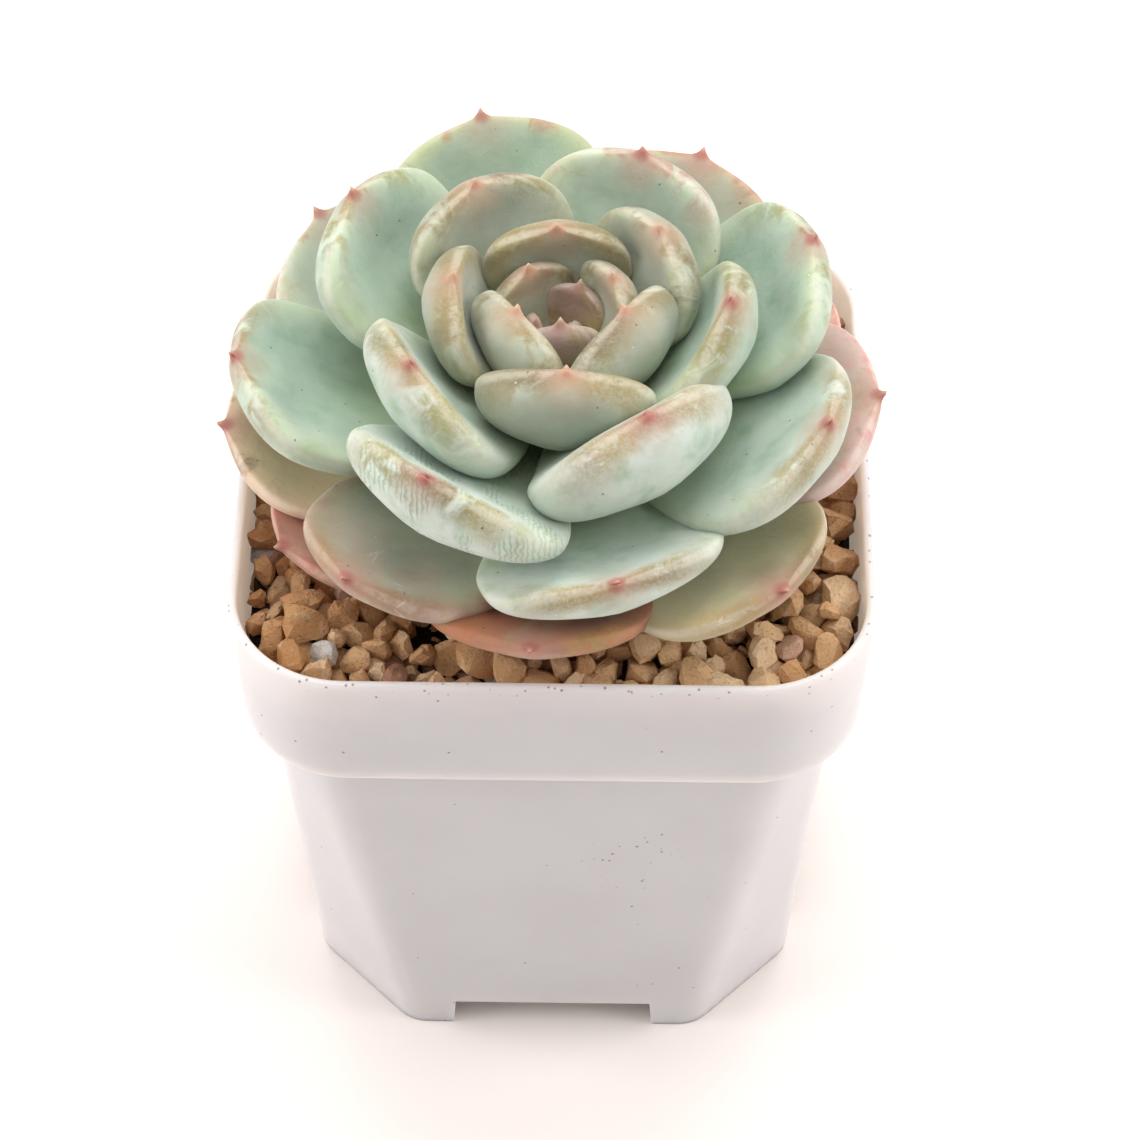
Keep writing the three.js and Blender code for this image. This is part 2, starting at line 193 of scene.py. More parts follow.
class Graph:
    """A material's nodes, written as sums: each method adds a node and gives back its output."""

    def __init__(self, name: str) -> None:
        """Starts a material with one surface shader.

        Args:
            name: the material's name.
        """
        self.material = bpy.data.materials.new(name)
        self.material.use_nodes = True
        self.tree = self.material.node_tree
        self.surface = next(n for n in self.tree.nodes if n.type == "BSDF_PRINCIPLED")

    def node(self, kind: str, inputs: dict | None = None, **settings: object) -> bpy.types.Node:
        """Adds a node.

        Args:
            kind: the node's type.
            inputs: values or outputs for its sockets, by socket name or number.
            settings: the node's own properties.

        Returns:
            The node.
        """
        made = self.tree.nodes.new(kind)
        for key, value in settings.items():
            setattr(made, key, value)
        for key, value in (inputs or {}).items():
            self.plug(made.inputs[key], value)
        return made

    def plug(self, socket: Socket, value: object) -> None:
        """Links an output to a socket, or sets the socket's own value.

        Args:
            socket: the socket.
            value: an output, a number, numbers, or a colour as on a paint chart.
        """
        if isinstance(value, Socket):
            self.tree.links.new(value, socket)
        else:
            socket.default_value = paint(value) if isinstance(value, str) else value

    def constants(self, **values: object) -> None:
        """Sets the surface shader's own sockets, named with _ for each space."""
        for key, value in values.items():
            self.surface.inputs[key.replace("_", " ")].default_value = value

    def spot(self) -> Socket:
        """The place on the object, in metres."""
        return self.node("ShaderNodeTexCoord").outputs["Object"]

    def mark(self, name: str) -> Socket:
        """A value that the mesh carries."""
        return self.node("ShaderNodeAttribute", attribute_name=name).outputs["Fac"]

    def noise(self, size: float, detail: float = 3, rough: float = 0.55, warp: float = 0,
              where: object = None) -> Socket:
        """Cloudy variation.

        Args:
            size: the width of one cloud, in millimetres.
            detail: how many finer layers are added.
            rough: how strong the finer layers are.
            warp: how much the clouds are drawn out of shape.
            where: the coordinates, or none for the place on the object.

        Returns:
            A value around one half.
        """
        inputs = {"Vector": where or self.spot(), "Scale": 1 / (size * MM), "Detail": detail,
                  "Roughness": rough, "Distortion": warp}
        return self.node("ShaderNodeTexNoise", inputs).outputs["Fac"]

    def cells(self, size: float, feature: str = "F1", output: str = "Distance",
              where: object = None) -> Socket:
        """Distance to scattered points, or a random colour for each.

        Args:
            size: the spacing of the points, in millimetres.
            feature: which distance.
            output: the output's name.
            where: the coordinates, or none for the place on the object.

        Returns:
            The output.
        """
        inputs = {"Vector": where or self.spot(), "Scale": 1 / (size * MM)}
        return self.node("ShaderNodeTexVoronoi", inputs, feature=feature).outputs[output]

    def math(self, operation: str, a: object, b: object = 0.0) -> Socket:
        """One sum on two values."""
        return self.node("ShaderNodeMath", {0: a, 1: b}, operation=operation).outputs[0]

    def times(self, *values: object) -> Socket:
        """The product of all the values."""
        return reduce(lambda product, value: self.math("MULTIPLY", product, value), values)

    def plus(self, a: object, b: object) -> Socket:
        """The sum of two values."""
        return self.math("ADD", a, b)

    def less(self, a: object, b: object) -> Socket:
        """The first value less the second."""
        return self.math("SUBTRACT", a, b)

    def stray(self, start: object, cloud: object, reach: float) -> Socket:
        """A value moved up and down by how far a cloudy value is from one half, times the reach."""
        return self.plus(start, self.times(self.less(cloud, 0.5), reach))

    def rise(self, value: object, low: float, high: float) -> Socket:
        """Goes smoothly from 0 to 1.

        Args:
            value: the value.
            low: where the result is 0, which may be the larger of the two.
            high: where the result is 1.

        Returns:
            The result.
        """
        inputs = {"Value": value, "From Min": low, "From Max": high}
        if low > high:
            inputs |= {"From Min": high, "From Max": low, "To Min": 1.0, "To Max": 0.0}
        made = self.node("ShaderNodeMapRange", inputs, interpolation_type="SMOOTHSTEP")
        return made.outputs["Result"]

    def mix(self, share: object, under: object, over: object) -> Socket:
        """Lays one colour over another.

        Args:
            share: how much of the upper colour shows.
            under: the lower colour.
            over: the upper colour.

        Returns:
            The mixed colour.
        """
        made = self.node("ShaderNodeMix", data_type="RGBA")
        for socket, value in (("Factor", share), (6, under), (7, over)):
            self.plug(made.inputs[socket], value)
        return made.outputs[2]

    def relief(self, *layers: tuple[object, float]) -> None:
        """Gives the surface relief.

        Args:
            layers: the coarsest first, each a height value and its depth at one, in millimetres.
        """
        below = {}
        for height, depth in layers:
            inputs = {"Strength": 1.0, "Distance": depth * MM, "Height": height, **below}
            below = {"Normal": self.node("ShaderNodeBump", inputs).outputs["Normal"]}
        self.plug(self.surface.inputs["Normal"], below["Normal"])

    def finish(self, colour: object, roughness: object) -> Material:
        """Plugs the colour and the roughness into the surface shader.

        Args:
            colour: the base colour.
            roughness: the roughness.

        Returns:
            The material.
        """
        self.plug(self.surface.inputs["Base Color"], colour)
        self.plug(self.surface.inputs["Roughness"], roughness)
        return self.material


class LeafGraph(Graph):
    """The nodes of a leaf's skin, with the leaf's marks and three sizes of cloudy variation.

    The marks are millimetres from the margin and from the point, the share of the length from the
    base, how far a spot faces up the stem, and numbers that differ from leaf to leaf: a seed, and
    how coral, pink, stained, rubbed, bloomed and pale the leaf is.
    """

    def __init__(self, name: str) -> None:
        """Reads the marks, and moves the clouds by the leaf's seed.

        Args:
            name: the material's name.
        """
        super().__init__(name)
        self.seed = self.mark("leaf_seed")
        shift = self.node("ShaderNodeCombineXYZ", {0: self.seed, 1: self.seed}).outputs[0]
        moved = self.node("ShaderNodeVectorMath", {0: self.spot(), 1: shift}, operation="ADD")
        self.where = moved.outputs[0]
        self.margin, self.point, self.along = map(self.mark, ("margin_mm", "point_mm", "along"))
        self.under = self.rise(self.mark("upper"), 0.62, 0.3)
        self.cloud = self.noise(8, 3, 0.5, where=self.where)
        self.mottle = self.noise(1.7, 5, 0.65, 0.5, where=self.where)
        self.grain = self.noise(0.4, 4, 0.75, where=self.where)
        self.wander = self.stray(self.margin, self.mottle, 3.0)


@dataclass(frozen=True)
class LeafFinish:
    """Waxy succulent skin: flesh colours under a pale bloom that is rubbed off in places, with a
    painted glow where light shines through thin flesh.
    """

    name: str
    flesh: str
    flesh_deep: str
    # translucent: a painted glow of light shining through the thin margins and the base
    translucent: str
    bloom: str
    bloom_cover: float
    tip_tint: str
    tip_reach: float
    tip_share: float
    coral: str = "B56C48"
    coral_deep: str = "8C5236"
    pink: str = "E09A92"
    pink_deep: str = "C66462"
    cream: str = "EBDDB0"
    # rim: the margin line, pale bloom with a painted highlight along the rounded edge
    rim: str = "E4DED0"
    mauve: str = "B58378"
    mark: str = "A9605A"
    spike: str = "D9A898"
    stain: str = "98894A"
    stain_deep: str = "726432"
    speck: str = "4C4038"
    pimple: str = "EFE6E0"

    def material(self) -> Material:
        """Builds the skin from the leaf's own marks.

        Returns:
            The material.
        """
        g = LeafGraph(self.name)
        colour = g.mix(g.rise(g.cloud, 0.36, 0.66), self.flesh_deep, self.flesh)
        # Painted glow: a yellowish colour near the margin and the base stands in for light shining
        # through the thin flesh, less on the underside.
        edge = g.times(g.rise(g.wander, 6.0, 0.4), g.less(0.62, g.times(g.under, 0.34)))
        thin = g.math("MAXIMUM", edge, g.times(g.rise(g.along, 0.72, 0.2), 0.75))
        colour = g.mix(thin, colour, self.translucent)
        # The leaf's own cream colour; laid on thickly on shaded outer leaves, it also paints in the
        # light that shines through them.
        colour = g.mix(g.mark("leaf_pale"), colour, self.cream)
        colour = self.reddened(g, colour)

        streak = self.rubbed(g)
        cover = self.bloomed(g, streak)
        colour = g.mix(cover, colour, self.bloom)
        browned = g.rise(g.stray(g.point, g.mottle, 5.0), self.tip_reach, 1.0)
        colour = g.mix(g.times(browned, self.tip_share), colour, self.tip_tint)
        stained = self.stained(g)
        tone = g.rise(g.plus(g.cloud, g.times(g.grain, 0.6)), 0.65, 0.9)
        tint = g.mix(tone, self.stain_deep, self.stain)
        tint = g.mix(g.times(g.mark("leaf_pink"), 0.8), tint, self.mauve)
        colour = g.mix(stained, colour, tint)

        # A pale line runs round the margin of a leaf that has its bloom: partly its pale bloom,
        # partly a painted highlight where the rounded margin catches the light.
        line = g.times(g.rise(g.margin, 0.9, 0.15), g.rise(g.mottle, 0.3, 0.55))
        line = g.times(line, 0.34, g.math("MINIMUM", g.mark("leaf_bloom"), 1.0))
        colour = g.mix(line, colour, self.rim)

        # A dull pink flush spreads from the point, which is itself dark.
        flush = g.rise(g.stray(g.point, g.mottle, 3.6), 4.6, 0.4)
        colour = g.mix(g.times(flush, g.plus(0.26, g.times(g.seed, 0.34))), colour, self.mauve)
        colour = g.mix(g.times(g.rise(g.point, 1.3, 0.5), 0.7), colour, self.mark)
        colour = g.mix(g.times(g.rise(g.point, 0.45, 0.1), 0.6), colour, self.spike)
        colour = self.speckled(g, colour)
        worn = g.math("MAXIMUM", g.times(stained, 0.7), streak)
        g.relief((g.cloud, 0.3), (g.mottle, 0.1), (g.grain, 0.03), (worn, -0.06))
        g.constants(Subsurface_Weight=0.16, Subsurface_Radius=(1.0, 1.0, 0.5),
                    Subsurface_Scale=0.0018, Sheen_Weight=0.2, Sheen_Roughness=0.45, IOR=1.42,
                    Specular_IOR_Level=0.42)
        return g.finish(colour, g.plus(0.46, g.times(cover, 0.22)))

    def bloomed(self, g: LeafGraph, streak: object) -> Socket:
        """How much of the pale bloom lies on a spot: most underneath, least where it was touched.

        Args:
            g: the skin's nodes.
            streak: how rubbed the spot is.

        Returns:
            The share.
        """
        patch = g.rise(g.noise(3.6, 4, 0.6, 0.4, where=g.where), 0.12, 0.6)
        near_edge = g.plus(0.66, g.times(g.rise(g.margin, 8.0, 1.0), 0.3))
        below = g.plus(0.9, g.times(g.under, 0.12))
        outward = g.plus(0.5, g.times(g.rise(g.along, 0.3, 0.75), 0.5))
        kept = g.less(1.0, g.times(streak, 0.7))
        cover = g.times(patch, self.bloom_cover, near_edge, below, outward, kept)
        return g.math("MINIMUM", g.times(cover, g.mark("leaf_bloom")), 0.9)

    def reddened(self, g: LeafGraph, colour: object) -> Socket:
        """Turns a leaf coral by its own share, most at its outer half and along its margin.

        Args:
            g: the skin's nodes.
            colour: the colour under the coral.

        Returns:
            The colour.
        """
        coral = g.mix(g.rise(g.cloud, 0.35, 0.62), self.coral_deep, self.coral)
        outer = g.times(g.rise(g.margin, 3.2, 0.3), g.rise(g.along, 0.3, 0.6))
        coral = g.mix(g.mark("leaf_pink"), coral, g.mix(outer, self.pink, self.pink_deep))
        reach = g.plus(g.times(g.rise(g.along, 0.25, 0.95), 0.75), g.times(outer, 0.6))
        patch = g.rise(g.noise(5, 4, 0.6, 0.4, where=g.where), 0.25, 0.6)
        share = g.times(g.mark("leaf_warmth"), reach, g.plus(0.5, g.times(patch, 0.7)))
        return g.mix(g.math("MINIMUM", share, 0.95), colour, coral)

    @staticmethod
    def stained(g: LeafGraph) -> Socket:
        """How stained a spot is: speckled olive-brown patches along the margin, towards the point.

        Args:
            g: the skin's nodes.

        Returns:
            The share.
        """
        near = g.times(g.rise(g.point, 15, 5), g.rise(g.wander, 6.2, 0.8))
        cloud = g.noise(4.2, 4, 0.62, 0.7, where=g.where)
        patch = g.rise(g.plus(cloud, g.times(g.mark("leaf_stain"), 0.12)), 0.5, 0.68)
        fleck = g.rise(g.grain, 0.36, 0.64)
        share = g.times(near, patch, g.plus(0.6, g.times(fleck, 0.35)))
        loose = g.times(near, fleck, g.rise(g.mottle, 0.5, 0.7), 0.12)
        return g.math("MINIMUM", g.plus(share, loose), 0.9)

    @staticmethod
    def rubbed(g: LeafGraph) -> Socket:
        """Fine parallel marks where something brushed the bloom off, on the leaves so marked.

        Args:
            g: the skin's nodes.

        Returns:
            The share.
        """
        inputs = {"Vector": g.where, "Scale": 560.0, "Distortion": 6.0, "Detail": 2.0,
                  "Detail Scale": 1.6}
        wave = g.node("ShaderNodeTexWave", inputs).outputs["Fac"]
        patch = g.rise(g.noise(6.5, 2, 0.4, 0.3, where=g.where), 0.5, 0.6)
        return g.times(g.rise(wave, 0.45, 0.85), patch, g.mark("leaf_rub"))

    def speckled(self, g: LeafGraph, colour: object) -> Socket:
        """Adds dark specks of soil, a few pale pimples and thin pale scratches.

        Args:
            g: the skin's nodes.
            colour: the colour under them.

        Returns:
            The colour.
        """
        chance = g.cells(2.0, output="Color", where=g.where)
        tone = g.node("ShaderNodeSeparateColor", {0: chance}).outputs
        dot = g.times(g.rise(g.cells(2.0, where=g.where), 0.085, 0.05), g.rise(tone[0], 0.6, 0.64))
        colour = g.mix(g.times(dot, 0.7), colour, self.speck)
        pimple = g.rise(g.cells(3.2, where=g.where), 0.05, 0.02)
        colour = g.mix(g.times(pimple, g.rise(tone[1], 0.5, 0.55), 0.6), colour, self.pimple)
        web = g.rise(g.cells(5.0, "DISTANCE_TO_EDGE", where=g.where), 0.022, 0.008)
        worn = g.rise(g.noise(2.8, 3, 0.6, where=g.where), 0.55, 0.62)
        scratch = g.times(web, worn, g.rise(g.point, 12, 3), g.rise(g.mark("leaf_stain"), 2.1, 2.5))
        return g.mix(g.times(scratch, 0.45), colour, self.pimple)


BUD_SKIN = LeafFinish(
    "bud_skin", "BFA69D", "9C8681", "B09E8C", "CDBEB8", 0.6, "A9887C", 6, 0.5,
    mauve="A98A82", mark="BC9484", spike="E2BCA8")
INNER_SKIN = LeafFinish(
    "inner_skin", "A6AE9C", "919B8A", "AEB182", "BBBFB2", 0.5, "A4906F", 6, 0.4,
    stain="907E4C", stain_deep="705E38", mauve="C4A08C", mark="C6967F", spike="E6C0A4")
OUTER_SKIN = LeafFinish(
    "outer_skin", "A0BCA2", "8AA890", "B6C583", "CFD8D0", 0.6, "B0A080", 6, 0.3)
OLD_SKIN = LeafFinish(
    "old_skin", "A9B189", "95A078", "C4C18A", "DDD2C2", 0.3, "A98774", 7, 0.4)


@dataclass(frozen=True)
class LeafHabit:
    """How a leaf differs: how red, how pink that is, how stained, rubbed, bloomed and pale."""

    warmth: float = 0.0
    pink: float = 0.0
    stain: float = 0.5
    rub: float = 0.0
    bloom: float = 1.0
    # pale: the share of the leaf's cream, which on shaded outer leaves also paints in light shining
    # through them
    pale: float = 0.0


# By place on the spiral, counted from 0 in the bud.
HABITS = {
    **{where: LeafHabit(stain=stain) for where, stain in {
        3: 0.9, 5: 1.1, 6: 0.7, 7: 1.0, 8: 1.6, 9: 1.1, 10: 1.6, 11: 0.8, 12: 1.3, 13: 0.9,
        14: 1.7, 18: 0.8}.items()},
    15: LeafHabit(stain=1.8, bloom=1.8),
    16: LeafHabit(warmth=0.1, pink=1.0),
    17: LeafHabit(pink=0.3, stain=1.7, bloom=1.9),
    20: LeafHabit(stain=1.5, rub=1.0, bloom=2.2),
    21: LeafHabit(warmth=0.1, pink=1.0, stain=0.2, bloom=0.35),
    22: LeafHabit(pink=0.2, stain=1.8, bloom=1.6),
    23: LeafHabit(pink=0.3, stain=1.0),
    24: LeafHabit(warmth=0.34, pink=1.0, bloom=0.25),
    25: LeafHabit(pink=0.2, stain=2.0, bloom=2.0),
    26: LeafHabit(warmth=0.2, pink=0.8),
    27: LeafHabit(warmth=1.15, pink=1.0, stain=0.2, pale=0.25),
    28: LeafHabit(warmth=0.6, pink=0.5, stain=2.8, bloom=0.6),
    30: LeafHabit(warmth=0.2, pink=0.3, stain=2.8, bloom=0.9, pale=0.15),
    31: LeafHabit(warmth=0.3, pink=0.5, stain=0.2, pale=1.0),
    32: LeafHabit(warmth=0.7, pink=0.8, stain=0.2, pale=0.5),
    33: LeafHabit(warmth=1.5, stain=0.4, bloom=0.15),
    34: LeafHabit(warmth=0.4, pink=0.5),
    36: LeafHabit(warmth=1.1, pink=0.55, stain=0.3, bloom=0.6, pale=0.7),
}


@dataclass(frozen=True)
class PotPlastic:
    """White moulded plastic, a little translucent, with scuffs, specks of soil and a painted glow
    on its inner wall.
    """

    name: str = "white_pot_plastic"
    white: str = "DBD5D5"
    shade: str = "D5CFD0"
    soil: str = "5E4638"
    lit: str = "FBEBE0"
    scuff: tuple[float, float, float] = (0.009, -0.030, 0.0355)

    def material(self) -> Material:
        """Builds the plastic. The inside mark is 1 where the wall looks back at the pot's middle,
        and there a warm pale colour is painted as the glow of light through the thin wall.

        Returns:
            The material.
        """
        g = Graph(self.name)
        colour = g.mix(g.rise(g.noise(16, 3, 0.5), 0.3, 0.75), self.white, self.shade)
        away = g.node("ShaderNodeVectorMath", {0: g.spot(), 1: self.scuff}, operation="DISTANCE")
        height = g.node("ShaderNodeSeparateXYZ", {0: g.spot()}).outputs["Z"]
        on_lip = g.times(g.rise(height, 0.0705, 0.0718), 0.9)
        dirty = g.math("MAXIMUM", g.rise(away.outputs["Value"], 0.007, 0.003), on_lip)
        fine = g.times(self.dots(g, 1.0, 0.22, 0.3), dirty)
        speck = g.math("MAXIMUM", fine, self.dots(g, 2.6, 0.075, 0.4))
        colour = g.mix(g.times(speck, 0.8), colour, self.soil)
        # Painted glow: the inner wall is painted warm and pale, standing in for light shining
        # through it.
        colour = g.mix(g.mark("inside"), colour, self.lit)
        g.relief((g.noise(14, 2, 0.5), 0.06))
        g.constants(Subsurface_Weight=0.9, Subsurface_Radius=(1.0, 0.85, 0.75),
                    Subsurface_Scale=0.005, IOR=1.49, Specular_IOR_Level=0.5)
        return g.finish(colour, 0.32)

    @staticmethod
    def dots(g: Graph, spacing: float, size: float, rarity: float) -> Socket:
        """Small scattered dots.

        Args:
            g: the material's nodes.
            spacing: the grid that dots are scattered on, in millimetres.
            size: a dot's radius as a share of the spacing.
            rarity: the share of the places that stay empty.

        Returns:
            1 in a dot and 0 outside.
        """
        chosen = g.node("ShaderNodeSeparateColor", {0: g.cells(spacing, output="Color")}).outputs[0]
        dot = g.rise(g.cells(spacing), size, size * 0.5)
        return g.times(dot, g.rise(chosen, rarity, rarity + 0.04))


@dataclass(frozen=True)
class PebbleClay:
    """Dry fired clay: a base tone for each pebble, dusty crests and pitted faces, with painted
    shade in the pits.
    """

    name: str
    pale: str
    deep: str
    dust: str
    pore: str = "7A5638"

    def material(self) -> Material:
        """Builds the clay. The pebble_tone mark sets how deep a pebble's colour is.

        Returns:
            The material.
        """
        g = Graph(self.name)
        colour = g.mix(g.mark("pebble_tone"), self.pale, self.deep)
        blot = g.noise(1.8, 4, 0.65)
        colour = g.mix(g.times(g.rise(blot, 0.5, 0.75), 0.5), colour, self.dust)
        grit = g.noise(0.35, 5, 0.75)
        # Painted shade: darker where the fine grit relief dips.
        colour = g.mix(g.times(g.rise(grit, 0.5, 0.38), 0.25), colour, self.pore)
        g.relief((blot, 0.5), (grit, 0.22), (g.rise(g.cells(0.55), 0.32, 0.1), -0.08))
        g.constants(Specular_IOR_Level=0.25)
        return g.finish(colour, g.plus(0.82, g.times(grit, 0.14)))


@dataclass(frozen=True)
class Soil:
    """Dark crumbly potting soil."""

    name: str = "potting_soil_crumbs"
    wet: str = "1E1713"
    dry: str = "4A392C"
    fibre: str = "A08465"

    def material(self) -> Material:
        """Builds the soil.

        Returns:
            The material.
        """
        g = Graph(self.name)
        crumb = g.noise(1.1, 6, 0.75)
        colour = g.mix(g.rise(crumb, 0.35, 0.7), self.wet, self.dry)
        colour = g.mix(g.times(g.rise(g.cells(1.7), 0.16, 0.08), 0.6), colour, self.fibre)
        g.relief((crumb, 0.6))
        g.constants(Specular_IOR_Level=0.2)
        return g.finish(colour, 0.92)


@dataclass(frozen=True)
class StemBark:
    """A short fleshy stem, green at the tip and corky where leaves have gone."""

    name: str = "stem_bark"
    cork: tuple[str, str] = ("6E5638", "9A8460")
    green: tuple[str, str] = ("8E9A66", "AAB887")
    green_from: tuple[float, float] = (0.07, 0.08)

    def material(self) -> Material:
        """Builds the bark.

        Returns:
            The material.
        """
        g = Graph(self.name)
        height = g.node("ShaderNodeSeparateXYZ", {0: g.spot()}).outputs["Z"]
        knots = g.noise(1.4, 5, 0.7, 0.5)
        bark = g.mix(g.rise(knots, 0.35, 0.7), *self.cork)
        colour = g.mix(g.rise(height, *self.green_from), bark, g.mix(knots, *self.green))
        g.relief((knots, 0.3))
        g.constants(Subsurface_Weight=0.05, Subsurface_Scale=0.001)
        return g.finish(colour, 0.75)


# ---------------------------------------------------------------------------- pot


@dataclass(frozen=True)
class Outline:
    """A square outline whose corners are cut at 45 degrees and eased with arcs, in millimetres."""

    half: float
    cut: float
    ease: float

    def points(self, corner_steps: int, side_stops: np.ndarray) -> np.ndarray:
        """Points once round, anticlockwise, starting in the middle of the +X side.

        Each corner is two arcs of 45 degrees joined by a straight cut. The arcs' radius is kept
        small enough for both to fit on the cut.

        Args:
            corner_steps: the steps in each arc.
            side_stops: places along a flat side, as millimetres from its middle, rising.

        Returns:
            An array of points, x and y.
        """
        ease = min(self.ease, self.cut * (1 + math.sqrt(0.5)))
        back = ease * math.tan(math.radians(22.5))
        reach = self.half - self.cut
        turn = np.radians(np.linspace(0, 45, corner_steps + 1))
        first = np.stack([self.half + ease * (np.cos(turn) - 1),
                          reach - back + ease * np.sin(turn)], -1)
        second = first[::-1, ::-1]
        side = np.clip(side_stops, back - reach, reach - back)
        side = np.stack([np.full(len(side), self.half), side], -1)
        quarter = np.concatenate([side, first, second])
        turns = [np.array([[math.cos(a), math.sin(a)], [-math.sin(a), math.cos(a)]])
                 for a in np.arange(4) * math.pi / 2]
        return np.concatenate([quarter @ t for t in turns])


def stacked(rings: list[tuple[Outline, float]], corner_steps: int,
            side_stops: np.ndarray) -> np.ndarray:
    """Lays outlines at their heights.

    Args:
        rings: outlines and heights.
        corner_steps: the steps in each arc of a corner.
        side_stops: places along a flat side, as millimetres from its middle, rising.

    Returns:
        A grid of rings by points by coordinates.
    """
    loops = [(outline.points(corner_steps, side_stops), height) for outline, height in rings]
    return np.stack([np.column_stack([loop, np.full(len(loop), height)]) for loop, height in loops])


@dataclass
class NurseryPot:
    """The square pot: rim band, tapering body with cut corners, four feet and a raised floor."""

    wall: float = 1.1
    rim_height: float = 17.4
    rim_foot_half: float = 34.1
    rim_foot_ease: float = 12.3
    lip_ease: float = 13.2
    neck_half: float = 31.3
    neck_cut: float = 5.7
    neck_ease: float = 7.5
    base_half: float = 28.8
    base_cut: float = 11.6
    base_ease: float = 5.0
    floor_underside: float = 5.0
    floor_top: float = 6.4
    notch_half: float = 11.7
    notch_height: float = 4.4
    notch_blend: float = 0.35
    skirt_top: float = 5.6
    skirt_width: float = 3.0
    skirt_steps: tuple[float, ...] = (0.12, 0.8, 1.9, 3.2, 4.4)
    foot_edge: float = 0.15
    floor_shares: tuple[float, ...] = (0.12, 0.45, 0.8)
    floor_fillet: float = 1.2
    ledge_fillet: tuple[float, float] = (1.1, 1.3)
    edge: float = 0.5
    under_rim_edge: float = 0.9
    drain_radius: float = 2.6
    drain_ring: float = 14.0
    corner_steps: int = 9

    def __post_init__(self) -> None:
        """Takes the pot's height and the half-width of its lip from the frame."""
        low, high = box_mm("pot")
        self.height = float(high[2])
        self.lip_half = float(high[0] - low[0]) / 2
        self.neck = self.height - self.rim_height

    def body(self, height: float, inset: float) -> tuple[Outline, float]:
        """The outline of the body at a height.

        Args:
            height: the height.
            inset: how far the outline is moved in.

        Returns:
            The outline and the height.
        """
        rise = height / self.neck
        half = self.base_half + (self.neck_half - self.base_half) * rise - inset
        cut = self.base_cut + (self.neck_cut - self.base_cut) * rise - inset * (2 - math.sqrt(2))
        ease = self.base_ease + (self.neck_ease - self.base_ease) * rise
        return Outline(half, cut, max(ease - inset * 0.5, 0.8)), height

    def rim(self, height: float, inset: float) -> tuple[Outline, float]:
        """The outline of the rim band at a height.

        Args:
            height: the height.
            inset: how far the outline is moved in.

        Returns:
            The outline and the height.
        """
        rise = (height - self.neck) / self.rim_height
        half = self.rim_foot_half + (self.lip_half - self.rim_foot_half) * rise - inset
        ease = self.rim_foot_ease + (self.lip_ease - self.rim_foot_ease) * rise - inset
        return Outline(half, ease / (1 + math.sqrt(0.5)), ease), height

    def floor(self, height: float) -> list[tuple[Outline, float]]:
        """Ever larger outlines across the floor at a height."""
        return [(Outline(self.base_half * s, self.base_cut * s, self.base_ease * s), height)
                for s in self.floor_shares]

    def profile(self) -> list[tuple[Outline, float]]:
        """The rings of the pot's skin, along its section.

        They run from the middle of the underside out, up the outside, over the lip, down inside and
        in to the middle. A rounded edge of radius r is r * (1 - sin(a)) up and r * (1 - cos(a)) in.

        Returns:
            Outlines and heights.
        """
        quarter = np.radians(np.linspace(0, 90, 7))
        wall, neck, top = self.wall, self.neck, self.height
        rings = [*self.floor(self.floor_underside), self.body(self.floor_underside, wall + 0.25)]
        recess = (self.floor_underside - 0.05, *self.skirt_steps[::-1])
        rings += [self.body(h, wall) for h in recess]
        rings += [self.body(0.0, inset) for inset in (wall - self.foot_edge, self.foot_edge)]
        rings += [self.body(h, 0.0) for h in (*self.skirt_steps, self.skirt_top, 7.0)]
        rings += [self.body(h, 0.0) for h in np.linspace(9, neck - 1.6, 24)]
        # A hollow fillet under the ledge, then the rim band's rounded lower edge.
        out, down = self.ledge_fillet
        rings += [self.body(neck - down * c, -out * (1 - c)) for c in np.cos(quarter[1:5])]
        edge = self.under_rim_edge
        rings += [self.rim(neck + edge * (1 - math.sin(a)), edge * (1 - math.cos(a)))
                  for a in quarter[::-1]]
        rings += [self.rim(h, 0.0) for h in np.linspace(neck + edge + 1, top - 1.4, 12)]
        lip, inner = self.edge, wall - 0.02
        rings += [self.rim(top - lip * (1 - math.sin(a)), lip * (1 - math.cos(a))) for a in quarter]
        rings += [self.rim(top - lip * (1 - math.sin(a)), inner - lip * (1 - math.cos(a)))
                  for a in quarter[::-1]]
        rings += [self.rim(h, wall) for h in np.linspace(top - 1.5, neck + 1.8, 9)]
        foot = self.floor_fillet
        rings += [self.body(h, wall) for h in np.linspace(neck - 0.6, self.floor_top + foot, 16)]
        rings += [self.body(self.floor_top + foot * (1 - math.sin(a)),
                            wall + foot * (1 - math.cos(a))) for a in quarter[1:]]
        return rings + self.floor(self.floor_top)[::-1]

    def shell(self) -> tuple[np.ndarray, list[list[int]]]:
        """The pot's closed skin: its rings, with the skirt lifted over the notches.

        A skirt point's height h becomes notch + h * (top - notch) / top within a notch, and stays h
        under a foot, with a narrow blend between them. The inner rings stop at the floor.

        Returns:
            Points in millimetres, and faces.
        """
        half, blend, top = self.notch_half, self.notch_blend, self.skirt_top
        stops = np.array([0, 6, half, half + blend, 16])
        points = stacked(self.profile(), self.corner_steps, np.concatenate([-stops[:0:-1], stops]))
        across, heights = np.abs(points[..., :2]), points[..., 2]
        lifted = 1 - smooth(across.min(-1), half, half + blend)
        risen = self.notch_height + heights * (top - self.notch_height) / top
        skirt = (heights < top) & (across.max(-1) > self.base_half - self.skirt_width)
        inner = len(self.floor_shares) + len(self.skirt_steps) + 2
        limit = np.where(np.arange(len(points))[:, None] < inner, self.floor_underside, self.height)
        moved = np.minimum(heights + lifted * (risen - heights), limit)
        points[..., 2] = np.where(skirt, moved, heights)
        return closed(points, [0, 0, self.floor_underside], [0, 0, self.floor_top])

